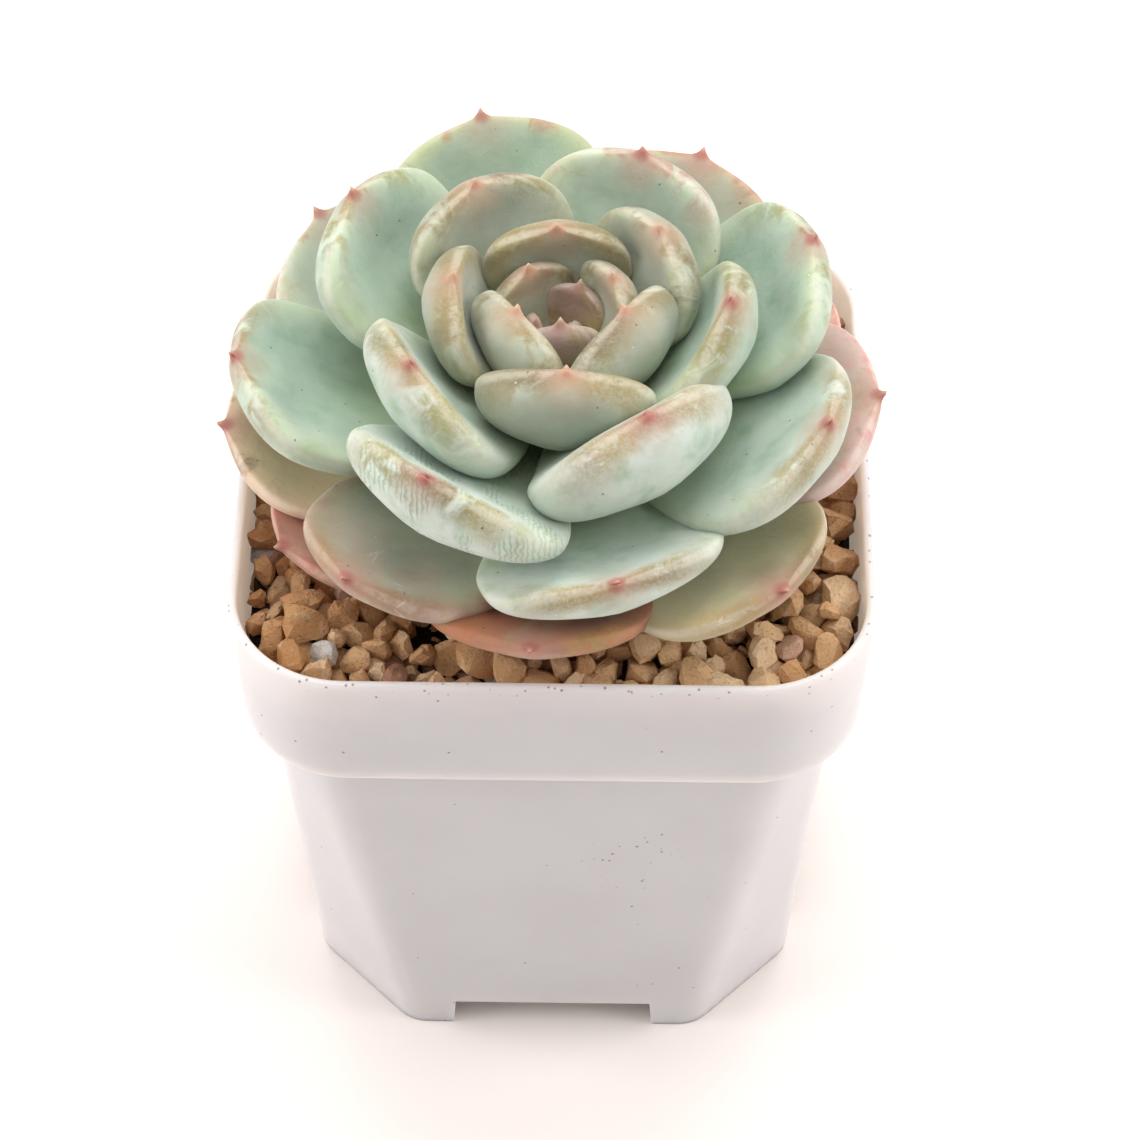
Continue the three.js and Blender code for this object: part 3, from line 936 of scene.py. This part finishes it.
    def drilled(self, pot: Piece) -> None:
        """Cuts the drain holes through the floor: one in the middle and four round it.

        Args:
            pot: the pot, whose mesh is replaced.
        """
        turn = np.linspace(0, 2 * math.pi, 33)[:-1]
        ring = self.drain_radius * np.stack([np.cos(turn), np.sin(turn)], -1)
        heights = (self.floor_underside - 1.5, self.floor_top + 1.5)
        points, faces = np.empty((0, 3)), []
        for x, y in self.drain_ring * np.array([[0, 0], [1, 0], [-1, 0], [0, 1], [0, -1]]):
            loop = ring + (x, y)
            grid = np.stack([np.column_stack([loop, np.full(len(loop), h)]) for h in heights])
            pin, sides = closed(grid, [x, y, heights[0]], [x, y, heights[1]])
            faces += [[len(points) + corner for corner in side] for side in sides]
            points = np.concatenate([points, pin])
        drill = new_piece("drain_drill", points, faces)
        cut = pot.modifiers.new("drain_holes", "BOOLEAN")
        cut.object, cut.operation, cut.solver = drill, "DIFFERENCE", "EXACT"
        graph = bpy.context.evaluated_depsgraph_get()
        made = bpy.data.meshes.new_from_object(pot.evaluated_get(graph))
        pot.modifiers.clear()
        pot.data = made
        bpy.data.objects.remove(drill)

    def build(self) -> None:
        """Makes and dresses the pot."""
        pot = new_piece("nursery_pot", *self.shell())
        self.drilled(pot)
        pot.data.set_sharp_from_angle(angle=math.radians(50))
        self.mark_inside(pot.data)
        pot.data.materials.clear()
        dress(pot, PotPlastic().material(), "pot_plastic", "pot")

    @staticmethod
    def mark_inside(mesh: bpy.types.Mesh) -> None:
        """Marks the points whose normal leans back to the upright axis, by twice how much it does,
        for the painted glow on the inner wall.

        Args:
            mesh: the pot's mesh.
        """
        outward = unit(vertex_rows(mesh)[:, :2] + 1e-9)
        inside = np.clip(-2 * (outward * vertex_rows(mesh, "normal")[:, :2]).sum(-1), 0, 1)
        mesh.attributes.new("inside", "FLOAT", "POINT").data.foreach_set("value", inside)

    def inner_half(self, height: float) -> float:
        """Half the clear width inside the pot at a height."""
        ring = self.rim(height, self.wall) if height > self.neck else self.body(height, self.wall)
        return ring[0].half


# ---------------------------------------------------------------------------- plant


@dataclass(frozen=True)
class Trend:
    """A size that changes along the spiral, on straight lines between (place, size) pairs."""

    pairs: tuple[tuple[float, float], ...]

    def at(self, where: float) -> float:
        """The size at a place on the spiral."""
        return float(np.interp(where, [p for p, _ in self.pairs], [s for _, s in self.pairs]))


@dataclass
class Leaf:
    """One fleshy leaf: a spoon outline, a hollowed face, a keeled underside and a small point.

    Lengths are in millimetres, in the upright plane through the plant's axis that holds the leaf.
    """

    number: int
    place: int
    heading: float
    base: np.ndarray
    tip: np.ndarray
    half_width: float
    thickness: float
    bend: float
    roll: float
    axis: np.ndarray
    hollow: float
    rows: int = 60
    around: int = 64
    upper_share: float = 0.36
    cup: float = 0.08
    fullness: float = 0.77
    widest_at: float = 0.62
    thickest_at: float = 0.6
    bluntness: float = 2.9
    cusp: tuple[float, float] = (0.45, 1.9)
    spike: tuple[float, float] = (1.15, 0.42)
    keel: tuple[float, float] = (0.07, 0.3)
    ripples: tuple[tuple[float, float], ...] = ((0.018, 7), (0.012, 13))
    wave: float = 0.012
    holds: tuple[float, float] = (0.36, 0.3)

    def __post_init__(self) -> None:
        """Draws the leaf's own seed, waves and sway from its number."""
        chance = np.random.default_rng(1000 + self.number)
        self.seed = float(chance.uniform(0, 1))
        self.phases = chance.uniform(0, 2 * math.pi, 6)
        self.sway = float(chance.uniform(-0.04, 0.04))

    def midline(self, along: np.ndarray) -> tuple[np.ndarray, np.ndarray]:
        """The Bezier line from base to tip at the height of the leaf's side edges.

        The end slopes are the chord's slope less half the bend, and plus END_TURN of it. Each
        handle is as long as its hold times the chord.

        Args:
            along: shares of the length from the base.

        Returns:
            Points and unit tangents, as distance out from the axis and height.
        """
        chord = self.tip - self.base
        slope, length = math.atan2(chord[1], chord[0]), float(np.linalg.norm(chord))
        start, end = slope - 0.5 * self.bend, slope + END_TURN * self.bend
        one = self.base + self.holds[0] * length * np.array([math.cos(start), math.sin(start)])
        two = self.tip - self.holds[1] * length * np.array([math.cos(end), math.sin(end)])
        t = along[:, None]
        line = ((1 - t) ** 3 * self.base + 3 * t * (1 - t) ** 2 * one + 3 * t * t * (1 - t) * two
                + t ** 3 * self.tip)
        pull = ((1 - t) ** 2 * (one - self.base) + 2 * t * (1 - t) * (two - one)
                + t * t * (self.tip - two))
        return line, unit(pull)

    @staticmethod
    def outline(along: np.ndarray, peak: float, bluntness: float) -> np.ndarray:
        """Grows from 0 at the base to 1 at the peak, and ends in a rounded nose.

        Args:
            along: shares of the length from the base.
            peak: where it is 1.
            bluntness: how full the nose is, as a power.

        Returns:
            The share at each place.
        """
        rising = 1 - (1 - np.minimum(along / peak, 1)) ** 1.4
        falling = np.sqrt(1 - np.clip((along - peak) / (1 - peak), 0, 1) ** bluntness)
        return np.where(along < peak, rising, falling)

    def surface(self) -> dict[str, np.ndarray]:
        """The leaf's skin on a grid of rings along the leaf and points round each ring.

        Along the leaf, rings follow a sine so that they crowd at the nose. Round a ring, the angle
        a gives width * cos(a) across and thickness * sin(a) up, both plumped, with the side edges
        lifted, a keel below, a hollow above and a shallow wave over all.

        Returns:
            The points and the marks that the skin's finish reads, each as an array of the grid.
        """
        v = np.linspace(0.02, 0.985, self.rows)
        along = np.sin(v * math.pi / 2)
        angle = np.linspace(0, 2 * math.pi, self.around + 1)[:-1]
        line, ahead = self.midline(along)
        ripple = 1 + sum(depth * np.sin(count * along + phase)
                         for (depth, count), phase in zip(self.ripples, self.phases))
        outline = self.outline(along, self.widest_at, self.bluntness)
        width = (self.half_width * outline * ripple)[:, None]
        thick = (self.thickness * self.outline(along, self.thickest_at, 4.0))[:, None]
        upper = (np.sin(angle) > 0)[None]
        side = swell(np.cos(angle), self.fullness)[None]
        rise = swell(np.sin(angle), self.fullness)[None]
        share = np.where(upper, self.upper_share, 1 - self.upper_share)
        across = width * side
        keel = -self.keel[0] * thick * np.exp(-(side / self.keel[1]) ** 2) * (~upper)
        deepening = 1 - 0.6 * smooth(along, 0.72, 0.97)[:, None]
        channel = -self.hollow * thick * np.sin(angle) ** 4 * deepening * upper
        wave = np.sin(3 * side + 5 * along[:, None] + self.phases[2])
        dent = self.wave * width * wave * np.abs(rise)
        lift = thick * share * rise + self.cup * across * side + keel + channel + dent
        across = across + self.sway * self.half_width * along[:, None] ** 2 * 2
        cos_roll, sin_roll = math.cos(self.roll), math.sin(self.roll)
        across, lift = across * cos_roll - lift * sin_roll, across * sin_roll + lift * cos_roll
        out = line[:, :1] - lift * ahead[:, 1:]
        up = line[:, 1:] + lift * ahead[:, :1]
        out, up, from_point = self.pointed(out, across, up)
        flat = np.stack([out, across, up], -1)
        arc = self.margin_distance(flat)
        return {"points": self.turned(flat), "margin_mm": arc, "point_mm": from_point,
                "along": np.broadcast_to(along[:, None], arc.shape),
                "upper": np.broadcast_to(0.5 + 0.5 * rise, arc.shape)}

    def pointed(self, out: np.ndarray, across: np.ndarray,
                up: np.ndarray) -> tuple[np.ndarray, ...]:
        """Draws the nose out to a low cusp and a small spike on it.

        Each adds length * exp(-(distance / spread) ** 1.5) along the midline's end.

        Args:
            out: distances from the axis.
            across: distances to the side.
            up: heights.

        Returns:
            The moved distances and heights, and the distance of each spot from the point.
        """
        end, ahead = self.midline(np.array([1.0]))
        side = self.sway * self.half_width * 2
        gap = np.sqrt((out - end[0, 0]) ** 2 + (across - side) ** 2 + (up - end[0, 1]) ** 2)
        pull = sum(length * np.exp(-(gap / spread) ** 1.5)
                   for length, spread in (self.cusp, self.spike))
        return out + pull * ahead[0, 0], up + pull * ahead[0, 1], gap

    @staticmethod
    def margin_distance(grid: np.ndarray) -> np.ndarray:
        """The distance round each ring from its nearer side edge.

        Args:
            grid: rings by points by coordinates. The side edges are the first point and the one
                halfway round.

        Returns:
            A distance for each point.
        """
        steps = np.linalg.norm(np.roll(grid, -1, 1) - grid, axis=-1)
        run = np.concatenate([np.zeros((len(grid), 1)), np.cumsum(steps, 1)], 1)
        whole, run = run[:, -1:], run[:, :-1]
        opposite = run[:, run.shape[1] // 2][:, None]
        return np.minimum(np.minimum(run, whole - run), np.abs(run - opposite))

    def turned(self, grid: np.ndarray) -> np.ndarray:
        """Turns points about the plant's axis to the leaf's heading.

        Args:
            grid: rings by points by distances out, across and up in the leaf's own plane.

        Returns:
            Rings by points by coordinates.
        """
        out, across, up = np.moveaxis(grid, -1, 0)
        cos_h, sin_h = math.cos(self.heading), math.sin(self.heading)
        x = self.axis[0] + out * cos_h - across * sin_h
        y = self.axis[1] + out * sin_h + across * cos_h
        return np.stack([x, y, up], -1)


class LeafAge(Enum):
    """The four finishes that leaves have, from the bud outwards."""

    BUD = ("bud_leaf", 5)
    INNER = ("inner_leaf", 14)
    OUTER = ("outer_leaf", 30)
    OLD = ("old_leaf", 36)

    @classmethod
    def of(cls, number: int) -> "LeafAge":
        """The age of a leaf by its number."""
        return next(age for age in cls if number <= age.value[1])


# What single leaves have of their own, by place on the spiral. Breadths multiply the width,
# stoutness the thickness and upturns the bend; hollows are shares of the thickness, and rolls are
# in degrees about the leaf's length.
BREADTHS = {7: 1.08, 9: 1.02, 28: 0.88, 33: 1.12}
STOUTNESS = {7: 1.25, 9: 1.2, 12: 1.08, 17: 1.3, 20: 0.95, 25: 0.85, 28: 0.88}
UPTURNS = {7: 1.15, 9: 1.15, 12: 1.1, 15: 1.2, 17: 1.4, 20: 1.35, 22: 1.2, 25: 1.4, 28: 1.15,
           30: 1.15}
HOLLOWS = {12: 0.1, 15: 0.14, 17: 0.02, 20: -0.04, 22: 0.1, 25: -0.1, 28: 0.1, 30: 0.12}
ROLLS = {7: -14, 11: -6, 12: -8, 13: 5, 15: -10, 17: 12, 18: 6, 19: -5, 20: -9, 22: 5, 23: 6, 25: 6,
         28: -5, 30: 6}


@dataclass
class Rosette:
    """All the leaves, in their places on the spiral."""

    count: int = 36
    lost_place: int = 35
    width: Trend = Trend(((0, 4), (4, 9), (8, 16), (14, 21), (20, 25.8), (28, 26.4), (36, 21)))
    thickness: Trend = Trend(((0, 1.6), (4, 3), (8, 4.8), (12, 6.2), (20, 6.2), (28, 5), (36, 4)))
    bend: Trend = Trend(((0, 10), (8, 40), (18, 40), (26, 30), (36, 18)))
    base_radius: Trend = Trend(((0, 0.3), (36, 3.4)))
    base_drop: Trend = Trend(((0, 1), (36, 14)))
    point_length: float = 1.1
    hollow: float = 0.26

    def leaf(self, number: int) -> Leaf:
        """Reads a leaf's heading and point off its solid in the frame, and sizes it by its place.

        Args:
            number: 1 for the innermost leaf.

        Returns:
            The leaf.
        """
        where = number - 1 + (number > self.lost_place)
        low, high = box_mm("stem")
        axis = (low + high)[:2] / 2
        start = np.array([*axis, high[2] - self.base_drop.at(where)])
        base = np.array([self.base_radius.at(where), start[2]])
        bend = math.radians(self.bend.at(where)) * UPTURNS.get(where, 1)
        far = self.point_of(node_points(f"leaf_{number:02d}"), start, base, bend)
        flat = far[:2] - axis
        tip = np.array([float(np.linalg.norm(flat)), far[2]])
        chord = tip - base
        end = math.atan2(chord[1], chord[0]) + END_TURN * bend
        tip = tip - self.point_length * np.array([math.cos(end), math.sin(end)])
        half_width = self.width.at(where) / 2 * BREADTHS.get(where, 1)
        thickness = self.thickness.at(where) * STOUTNESS.get(where, 1)
        roll = math.radians(ROLLS.get(where, 0))
        return Leaf(number, where, math.atan2(flat[1], flat[0]), base, tip, half_width, thickness,
                    bend, roll, axis, HOLLOWS.get(where, self.hollow))

    @staticmethod
    def point_of(solid: np.ndarray, start: np.ndarray, base: np.ndarray, bend: float) -> np.ndarray:
        """Finds the small point of a leaf's solid: the spot farthest along the leaf's end slope.

        The first guess is the spot farthest from the start. Each round then looks along the slope
        from the base to the last guess, raised by 0.6 of the bend.

        Args:
            solid: the solid's points.
            start: the place on the plant's axis that the leaf grows from.
            base: the midline's first point, as distance out and height.
            bend: how far the midline turns up, in radians.

        Returns:
            The leaf's point.
        """
        far = solid[np.argmax(np.linalg.norm(solid - start, axis=1))]
        for _ in range(3):
            flat = far[:2] - start[:2]
            out = float(np.linalg.norm(flat))
            slope = math.atan2(far[2] - base[1], out - base[0]) + 0.6 * bend
            look = np.array([*(flat / out * math.cos(slope)), math.sin(slope)])
            far = solid[np.argmax((solid - start) @ look)]
        return far

    def build(self) -> list[Piece]:
        """Makes and dresses the leaves.

        Returns:
            The leaves, innermost first.
        """
        skins = zip(LeafAge, (BUD_SKIN, INNER_SKIN, OUTER_SKIN, OLD_SKIN))
        finishes = {age: skin.material() for age, skin in skins}
        return [self.piece(self.leaf(n), finishes) for n in range(1, self.count + 1)]

    @staticmethod
    def piece(leaf: Leaf, finishes: dict[LeafAge, Material]) -> Piece:
        """Turns one leaf into a piece.

        Args:
            leaf: the leaf.
            finishes: the material for each age.

        Returns:
            The piece.
        """
        marks = leaf.surface()
        grid = marks.pop("points")
        points, faces = closed(grid, grid[0].mean(0), grid[-1].mean(0))
        marks = {name: np.concatenate([values.ravel(), [values[0].mean(), values[-1].mean()]])
                 for name, values in marks.items()}
        habit = HABITS.get(leaf.place, LeafHabit())
        for mark, value in {"seed": leaf.seed, **asdict(habit)}.items():
            marks[f"leaf_{mark}"] = np.full(len(points), value)
        name = f"leaf_{leaf.number:02d}"
        made = new_piece(f"{name}_flesh", points, faces, marks)
        age = LeafAge.of(leaf.number)
        dress(made, finishes[age], age.value[0], name)
        return made


@dataclass
class Stem:
    """The short stem and root stock, with rings of leaf scars."""

    rows: int = 90
    around: int = 40
    scar_depth: float = 0.055
    root_share: float = 0.4
    roots_below: float = 60.0

    def build(self) -> None:
        """Makes the stem: the solid's own radius at each height, with a ripple of scars."""
        low, high = box_mm("stem")
        axis = (low + high)[:2] / 2
        solid = node_points("stem")
        distance = np.linalg.norm(solid[:, :2] - axis, axis=1)
        heights, first = np.unique(np.round(solid[:, 2], 2), return_inverse=True)
        widest = np.zeros(len(heights))
        np.maximum.at(widest, first, distance)
        up = np.linspace(low[2] + 0.15, high[2] - 0.1, self.rows)[:, None]
        turn = np.linspace(0, 2 * math.pi, self.around + 1)[None, :-1]
        radius = np.interp(up, heights, widest)
        scars = self.scar_depth * np.sin(up * 2.6 + 2 * turn) * np.sin(5 * turn - up * 1.4)
        radius = radius * (1 + np.where(up > self.roots_below, scars, self.root_share * scars))
        x, y = axis[0] + radius * np.cos(turn), axis[1] + radius * np.sin(turn)
        grid = np.stack([x, y, np.broadcast_to(up, x.shape)], -1)
        stem = new_piece("stem_flesh", *closed(grid, [*axis, low[2]], [*axis, high[2]]))
        dress(stem, StemBark().material(), "stem", "stem")


# ---------------------------------------------------------------------------- soil and pebbles


@dataclass
class PottingSoil:
    """The soil that fills the pot below the pebbles, lumpy on top and on its sides."""

    pot: NurseryPot
    clearance: float = 0.3
    roughness: float = 0.5

    def build(self) -> None:
        """Makes the soil: the pot's inner outlines moved in, and a rumpled top."""
        low, high = box_mm("potting_soil")
        bottom, top = float(low[2]), float(high[2])
        inset = self.pot.wall + self.clearance
        rings = [(Outline(20 * s, 8 * s, 2 * s), bottom) for s in (0.1, 0.6, 1.0)]
        rings += [self.pot.body(h, inset) for h in np.linspace(bottom, self.pot.neck - 1, 20)]
        half = self.pot.rim(top, inset)[0].half
        shares = (0.97, 0.85, 0.7, 0.55, 0.4, 0.3, 0.2)
        rings += [(Outline(half * s, 8 * s, 10 * s), top) for s in shares]
        grid = stacked(rings, 4, np.linspace(-16, 16, 9))
        x, y, z = np.moveaxis(grid, -1, 0)
        lump = 1 + np.sin(x * 1.3 + z) * np.sin(y * 1.1 - z * 0.7) * np.sin(z * 1.7 + x)
        grid[..., :2] *= (1 - self.roughness * 0.012 * lump)[..., None]
        grid[..., 2] = np.where(z >= top, z - self.roughness * lump, z)
        soil = new_piece("potting_soil_fill", *closed(grid, [0, 0, bottom], [0, 0, top - 6]))
        dress(soil, Soil().material(), "soil", "potting_soil")


@dataclass
class PebbleBed:
    """Loose pebbles, settled on each other by pushing overlapping ones apart under their weight."""

    pot: NurseryPot
    leaves: list[Piece]
    count: int = 1500
    crumbs: int = 450
    floor: float = 64.0
    crest: float = 71.7
    corner: float = 12.0
    stem_room: float = 5.4
    bare_spot: tuple[float, float] = (-13.4, -23.7)
    bare_room: float = 2.4
    stone_sizes: tuple[float, float] = (0.85, 2.8)
    crumb_sizes: tuple[float, float] = (0.4, 0.85)
    wall_gap: float = 0.15
    leaf_gap: float = 0.4
    steps: int = 120
    look_every: int = 8
    look_past: float = 1.2
    sink: float = 0.2
    closeness: float = 0.9
    give: float = 0.4
    planes: int = 9
    crease: float = 27.0
    sharpness: float = 24.0
    dents: float = 0.05
    seed: int = 4
    shares: tuple[float, ...] = (0.52, 0.36, 0.1, 0.02)
    half: int = 40

    @staticmethod
    def ball() -> tuple[np.ndarray, np.ndarray]:
        """An even ball of 42 points and 80 faces.

        Returns:
            Directions of length one, and faces.
        """
        shape = bmesh.new()
        bmesh.ops.create_icosphere(shape, subdivisions=2, radius=1)
        points = np.array([v.co[:] for v in shape.verts])
        faces = np.array([[v.index for v in f.verts] for f in shape.faces])
        shape.free()
        return unit(points), faces

    def ceiling(self) -> np.ndarray:
        """The lowest leaf over each square millimetre of the pot.

        Returns:
            A square grid of heights.
        """
        heights = np.full((2 * self.half, 2 * self.half), 200.0)
        for leaf in self.leaves:
            points = vertex_rows(leaf.data) / MM
            np.minimum.at(heights, self.square(points), points[:, 2])
        return heights

    def square(self, points: np.ndarray) -> tuple[np.ndarray, np.ndarray]:
        """The row and the column of the grid of heights that each point is over."""
        column = np.clip((points[:, :2] + self.half).astype(int), 0, 2 * self.half - 1)
        return column[:, 0], column[:, 1]

    def settle(self, radius: np.ndarray, start: np.ndarray) -> np.ndarray:
        """Finds resting places: each step sinks the pebbles a little and parts those that touch.

        Args:
            radius: each pebble's radius.
            start: where each pebble begins.

        Returns:
            Where each pebble ends.
        """
        spots = start.copy()
        heights = self.ceiling()
        for step in range(self.steps):
            if step % self.look_every == 0:
                gap = np.sqrt(((spots[:, None] - spots[None]) ** 2).sum(-1))
                near = gap < radius[:, None] + radius[None] + self.look_past
                one, two = np.nonzero(np.triu(near, 1))
                touch = (radius[one] + radius[two]) * self.closeness
            spots[:, 2] -= self.sink * (1 - step / self.steps)
            apart = spots[one] - spots[two]
            distance = np.linalg.norm(apart, axis=1, keepdims=True) + 1e-9
            push = apart / distance * np.clip(touch[:, None] - distance, 0, None) * self.give
            np.add.at(spots, one, push)
            np.add.at(spots, two, -push)
            self.confine(spots, radius, heights)
        return spots

    def confine(self, spots: np.ndarray, radius: np.ndarray, heights: np.ndarray) -> None:
        """Keeps pebbles in the round-cornered pot, off the stem and bare spot, under the leaves.

        Args:
            spots: where the pebbles are, which is changed.
            radius: their radii.
            heights: the lowest leaf over each square millimetre.
        """
        limit = (self.pot.inner_half(68.0) - self.wall_gap - radius)[:, None]
        flat = np.clip(spots[:, :2], -limit, limit)
        past = np.clip(np.abs(flat) - (limit - self.corner), 0, None)
        over = np.maximum(np.linalg.norm(past, axis=1, keepdims=True), 1e-6)
        eased = np.sign(flat) * (limit - self.corner + past * np.minimum(1, self.corner / over))
        flat = np.where((past > 0).all(1, keepdims=True), eased, flat)
        away = np.maximum(np.linalg.norm(flat, axis=1), 1e-6)
        flat = flat * np.maximum(1, (self.stem_room + radius) / away)[:, None]
        gap = flat - np.array(self.bare_spot)
        away = np.maximum(np.linalg.norm(gap, axis=1), 1e-6)
        clear = np.where(spots[:, 2] > self.floor + 1, self.bare_room + 0.7 * radius, 0)
        spots[:, :2] = flat + gap / away[:, None] * np.clip(clear - away, 0, None)[:, None]
        roof = np.minimum(heights[self.square(spots)] - self.leaf_gap, self.crest) - radius
        lowest = self.floor + 0.4 * radius
        spots[:, 2] = np.clip(spots[:, 2], lowest, np.maximum(roof, lowest))

    def stones(self, centres: np.ndarray, radius: np.ndarray,
               chance: np.random.Generator) -> np.ndarray:
        """The skin of every pebble: a ball cut by random planes.

        In a direction d, the radius is the soft least of height / (d . normal) over the planes that
        face that way. Each pebble is then flattened a little and turned at random.

        Args:
            centres: where the pebbles are.
            radius: their radii.
            chance: the random draws.

        Returns:
            An array of pebbles by points by coordinates.
        """
        ball, amount = self.ball()[0], len(radius)
        normals = unit(chance.normal(size=(amount, self.planes, 3)))
        depth = chance.uniform(0.5, 0.95, (amount, self.planes))
        cut = depth[:, None] / np.maximum(np.einsum("vk,npk->nvp", ball, normals), 0.02)
        power = -self.sharpness
        reach = ((cut ** power).sum(-1) + 1.1 ** power) ** (1 / power)
        shape = ball[None] * reach[..., None] * 1.25
        shape += chance.normal(0, self.dents, shape.shape)
        squash = np.column_stack([np.full(amount, 1.1), chance.uniform(0.7, 1, amount),
                                  chance.uniform(0.55, 0.9, amount)])
        turn = np.linalg.qr(chance.normal(size=(amount, 3, 3)))[0]
        shape = np.einsum("nvk,nkj->nvj", shape * squash[:, None], turn)
        return centres[:, None] + shape * radius[:, None, None]

    def build(self) -> None:
        """Makes the bed under the pebbles, and the pebbles in groups by kind of clay."""
        chance = np.random.default_rng(self.seed)
        stones = np.clip(chance.lognormal(0.3, 0.34, self.count), *self.stone_sizes)
        radius = np.concatenate([stones, chance.uniform(*self.crumb_sizes, self.crumbs)])
        total = len(radius)
        span = self.pot.inner_half(66.0) - 2.5
        start = np.column_stack([chance.uniform(low, high, total) for low, high in (
            (-span, span), (-span, span), (self.floor + 1, self.floor + 10))])
        centres = self.settle(radius, start)
        skins = self.stones(centres, radius, chance)
        kinds = {"tan_pebbles": PebbleClay("tan_clay", "F6D7AE", "D8A878", "F8E6CE"),
                 "ochre_pebbles": PebbleClay("ochre_clay", "EEC594", "CC9766", "F4DABA"),
                 "russet_pebbles": PebbleClay("russet_clay", "D6AE94", "AE8068", "E6CCBA"),
                 "grey_pebbles": PebbleClay("grey_stone", "E4DFD9", "A29A92", "F0ECE8", "6E665E")}
        kind = chance.choice(len(kinds), total, p=self.shares)
        tone = chance.uniform(0, 1, total)
        pieces = [self.group(name, clay, skins[kind == index], tone[kind == index])
                  for index, (name, clay) in enumerate(kinds.items())]
        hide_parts("gravel_top_dressing")
        self.bedding()

    def group(self, name: str, clay: PebbleClay, skins: np.ndarray,
              tone: np.ndarray) -> Piece:
        """Joins the pebbles of one kind into a piece.

        Args:
            name: the piece's name.
            clay: the finish.
            skins: pebbles by points by coordinates.
            tone: how deep each pebble's colour is.

        Returns:
            The piece.
        """
        faces = self.ball()[1]
        amount, corners = skins.shape[:2]
        every = (faces[None] + np.arange(amount)[:, None, None] * corners).reshape(-1, 3)
        marks = {"pebble_tone": np.repeat(tone, corners)}
        piece = new_piece(name, skins.reshape(-1, 3), every.tolist(), marks, self.crease)
        dress(piece, clay.material(), "gravel")
        return piece

    def bedding(self) -> None:
        """Makes the dark fines under the pebbles: a round-cornered slab with a crumbly top."""
        bottom, top = float(box_mm("gravel_top_dressing")[0][2]), self.floor + 1.6
        outline = Outline(self.pot.inner_half(60.0) - 0.35, 6.5, 11)
        loop = outline.points(6, np.linspace(-18, 18, 25))
        shares = np.concatenate([[0.2, 1.0], np.linspace(1.0, 0.2, 34)])
        x, y = np.moveaxis(shares[:, None, None] * loop, -1, 0)
        lump = np.sin(x * 2.1 + 0.3 * y) * np.sin(y * 1.9 - 0.6) + 0.5 * np.sin(x * 4.3 - y * 3.7)
        z = np.where(np.arange(len(shares))[:, None] < 2, bottom, top + 0.55 * lump)
        grid = np.stack([x, y, z], -1)
        bed = new_piece("gravel_fines", *closed(grid, [0, 0, bottom], [0, 0, top]))
        dress(bed, Soil("gravel_fines_crumbs").material(), "gravel")


# ---------------------------------------------------------------------------- studio


@dataclass(frozen=True)
class Lamp:
    """A soft square lamp that faces the plant, in metres and watts."""

    name: str
    where: tuple[float, float, float]
    size: float
    power: float
    colour: tuple[float, float, float]

    def hang(self) -> None:
        """Hangs the lamp and turns it to the plant."""
        light = bpy.data.lights.new(self.name, "AREA")
        light.size, light.energy, light.color = self.size, self.power, self.colour
        lamp = bpy.data.objects.new(self.name, light)
        lamp.location = self.where
        lamp.rotation_mode = "QUATERNION"
        aim = Vector((0, 0, 0.06)) - Vector(self.where)
        lamp.rotation_quaternion = aim.to_track_quat("-Z", "Y")
        bpy.context.scene.collection.objects.link(lamp)


@dataclass
class Studio:
    """Camera, floor and soft light."""

    azimuth: float = 0.88
    elevation: float = 49.07
    distance: float = 0.4
    aim_height: float = 0.0511
    aim_side: float = 0.00167
    lens: float = 108.7
    sensor: float = 36.0
    lamps: tuple[Lamp, ...] = (
        Lamp("top_light", (0.03, 0.5, 1.0), 0.9, 9.5, (1.0, 0.985, 0.97)),
        Lamp("front_top_light", (-0.1, -0.3, 1.25), 0.7, 1.9, (1.0, 0.985, 0.97)),
        Lamp("left_light", (-0.9, -0.08, 0.5), 0.7, 6.6, (1.0, 0.98, 0.98)),
        Lamp("right_light", (0.9, -0.08, 0.55), 0.7, 6.6, (1.0, 0.98, 0.98)))
    sky: tuple[float, float, float, float] = (1.0, 0.99, 0.985, 1.0)
    sky_strength: float = 0.38

    def camera(self) -> None:
        """Sets the camera looking down at the pot from in front."""
        a, e = math.radians(self.azimuth), math.radians(self.elevation)
        back = Vector((math.sin(a) * math.cos(e), -math.cos(a) * math.cos(e), math.sin(e)))
        right = Vector((math.cos(a), math.sin(a), 0))
        camera = bpy.data.objects.new("camera", bpy.data.cameras.new("camera"))
        camera.data.lens, camera.data.sensor_width = self.lens, self.sensor
        aim = Vector((0, 0, self.aim_height)) + right * self.aim_side
        camera.location = aim + back * self.distance
        camera.rotation_mode = "QUATERNION"
        camera.rotation_quaternion = (-back).to_track_quat("-Z", "Y")
        camera.data.clip_start, camera.data.clip_end = 0.01, 20
        bpy.context.scene.collection.objects.link(camera)
        bpy.context.scene.camera = camera

    def floor(self) -> None:
        """Lays a wide pale floor."""
        side = np.array([[-1, -1, 0], [1, -1, 0], [1, 1, 0], [-1, 1, 0]]) * 2500.0
        floor = new_piece("floor", side, [[0, 1, 2, 3]])
        g = Graph("floor_paper")
        colour = g.mix(g.rise(g.noise(60, 2, 0.4), 0.3, 0.7), "F5EDE8", "F8F1EC")
        floor.data.materials.append(g.finish(colour, 0.85))

    def build(self) -> None:
        """Sets the whole studio up."""
        self.camera()
        self.floor()
        for lamp in self.lamps:
            lamp.hang()
        world = bpy.data.worlds.new("studio")
        world.use_nodes = True
        background = world.node_tree.nodes["Background"]
        background.inputs["Color"].default_value = self.sky
        background.inputs["Strength"].default_value = self.sky_strength
        bpy.context.scene.world = world
        bpy.context.scene.view_settings.view_transform = "Standard"


def main() -> None:
    """Builds the studio, the pot and what is in it, and reports each piece."""
    logging.basicConfig(level=logging.INFO, format="%(name)s: %(message)s")
    Studio().build()
    pot = NurseryPot()
    pot.build()
    PottingSoil(pot).build()
    Stem().build()
    leaves = Rosette().build()
    PebbleBed(pot, leaves).build()


if __name__ == "__main__":
    main()
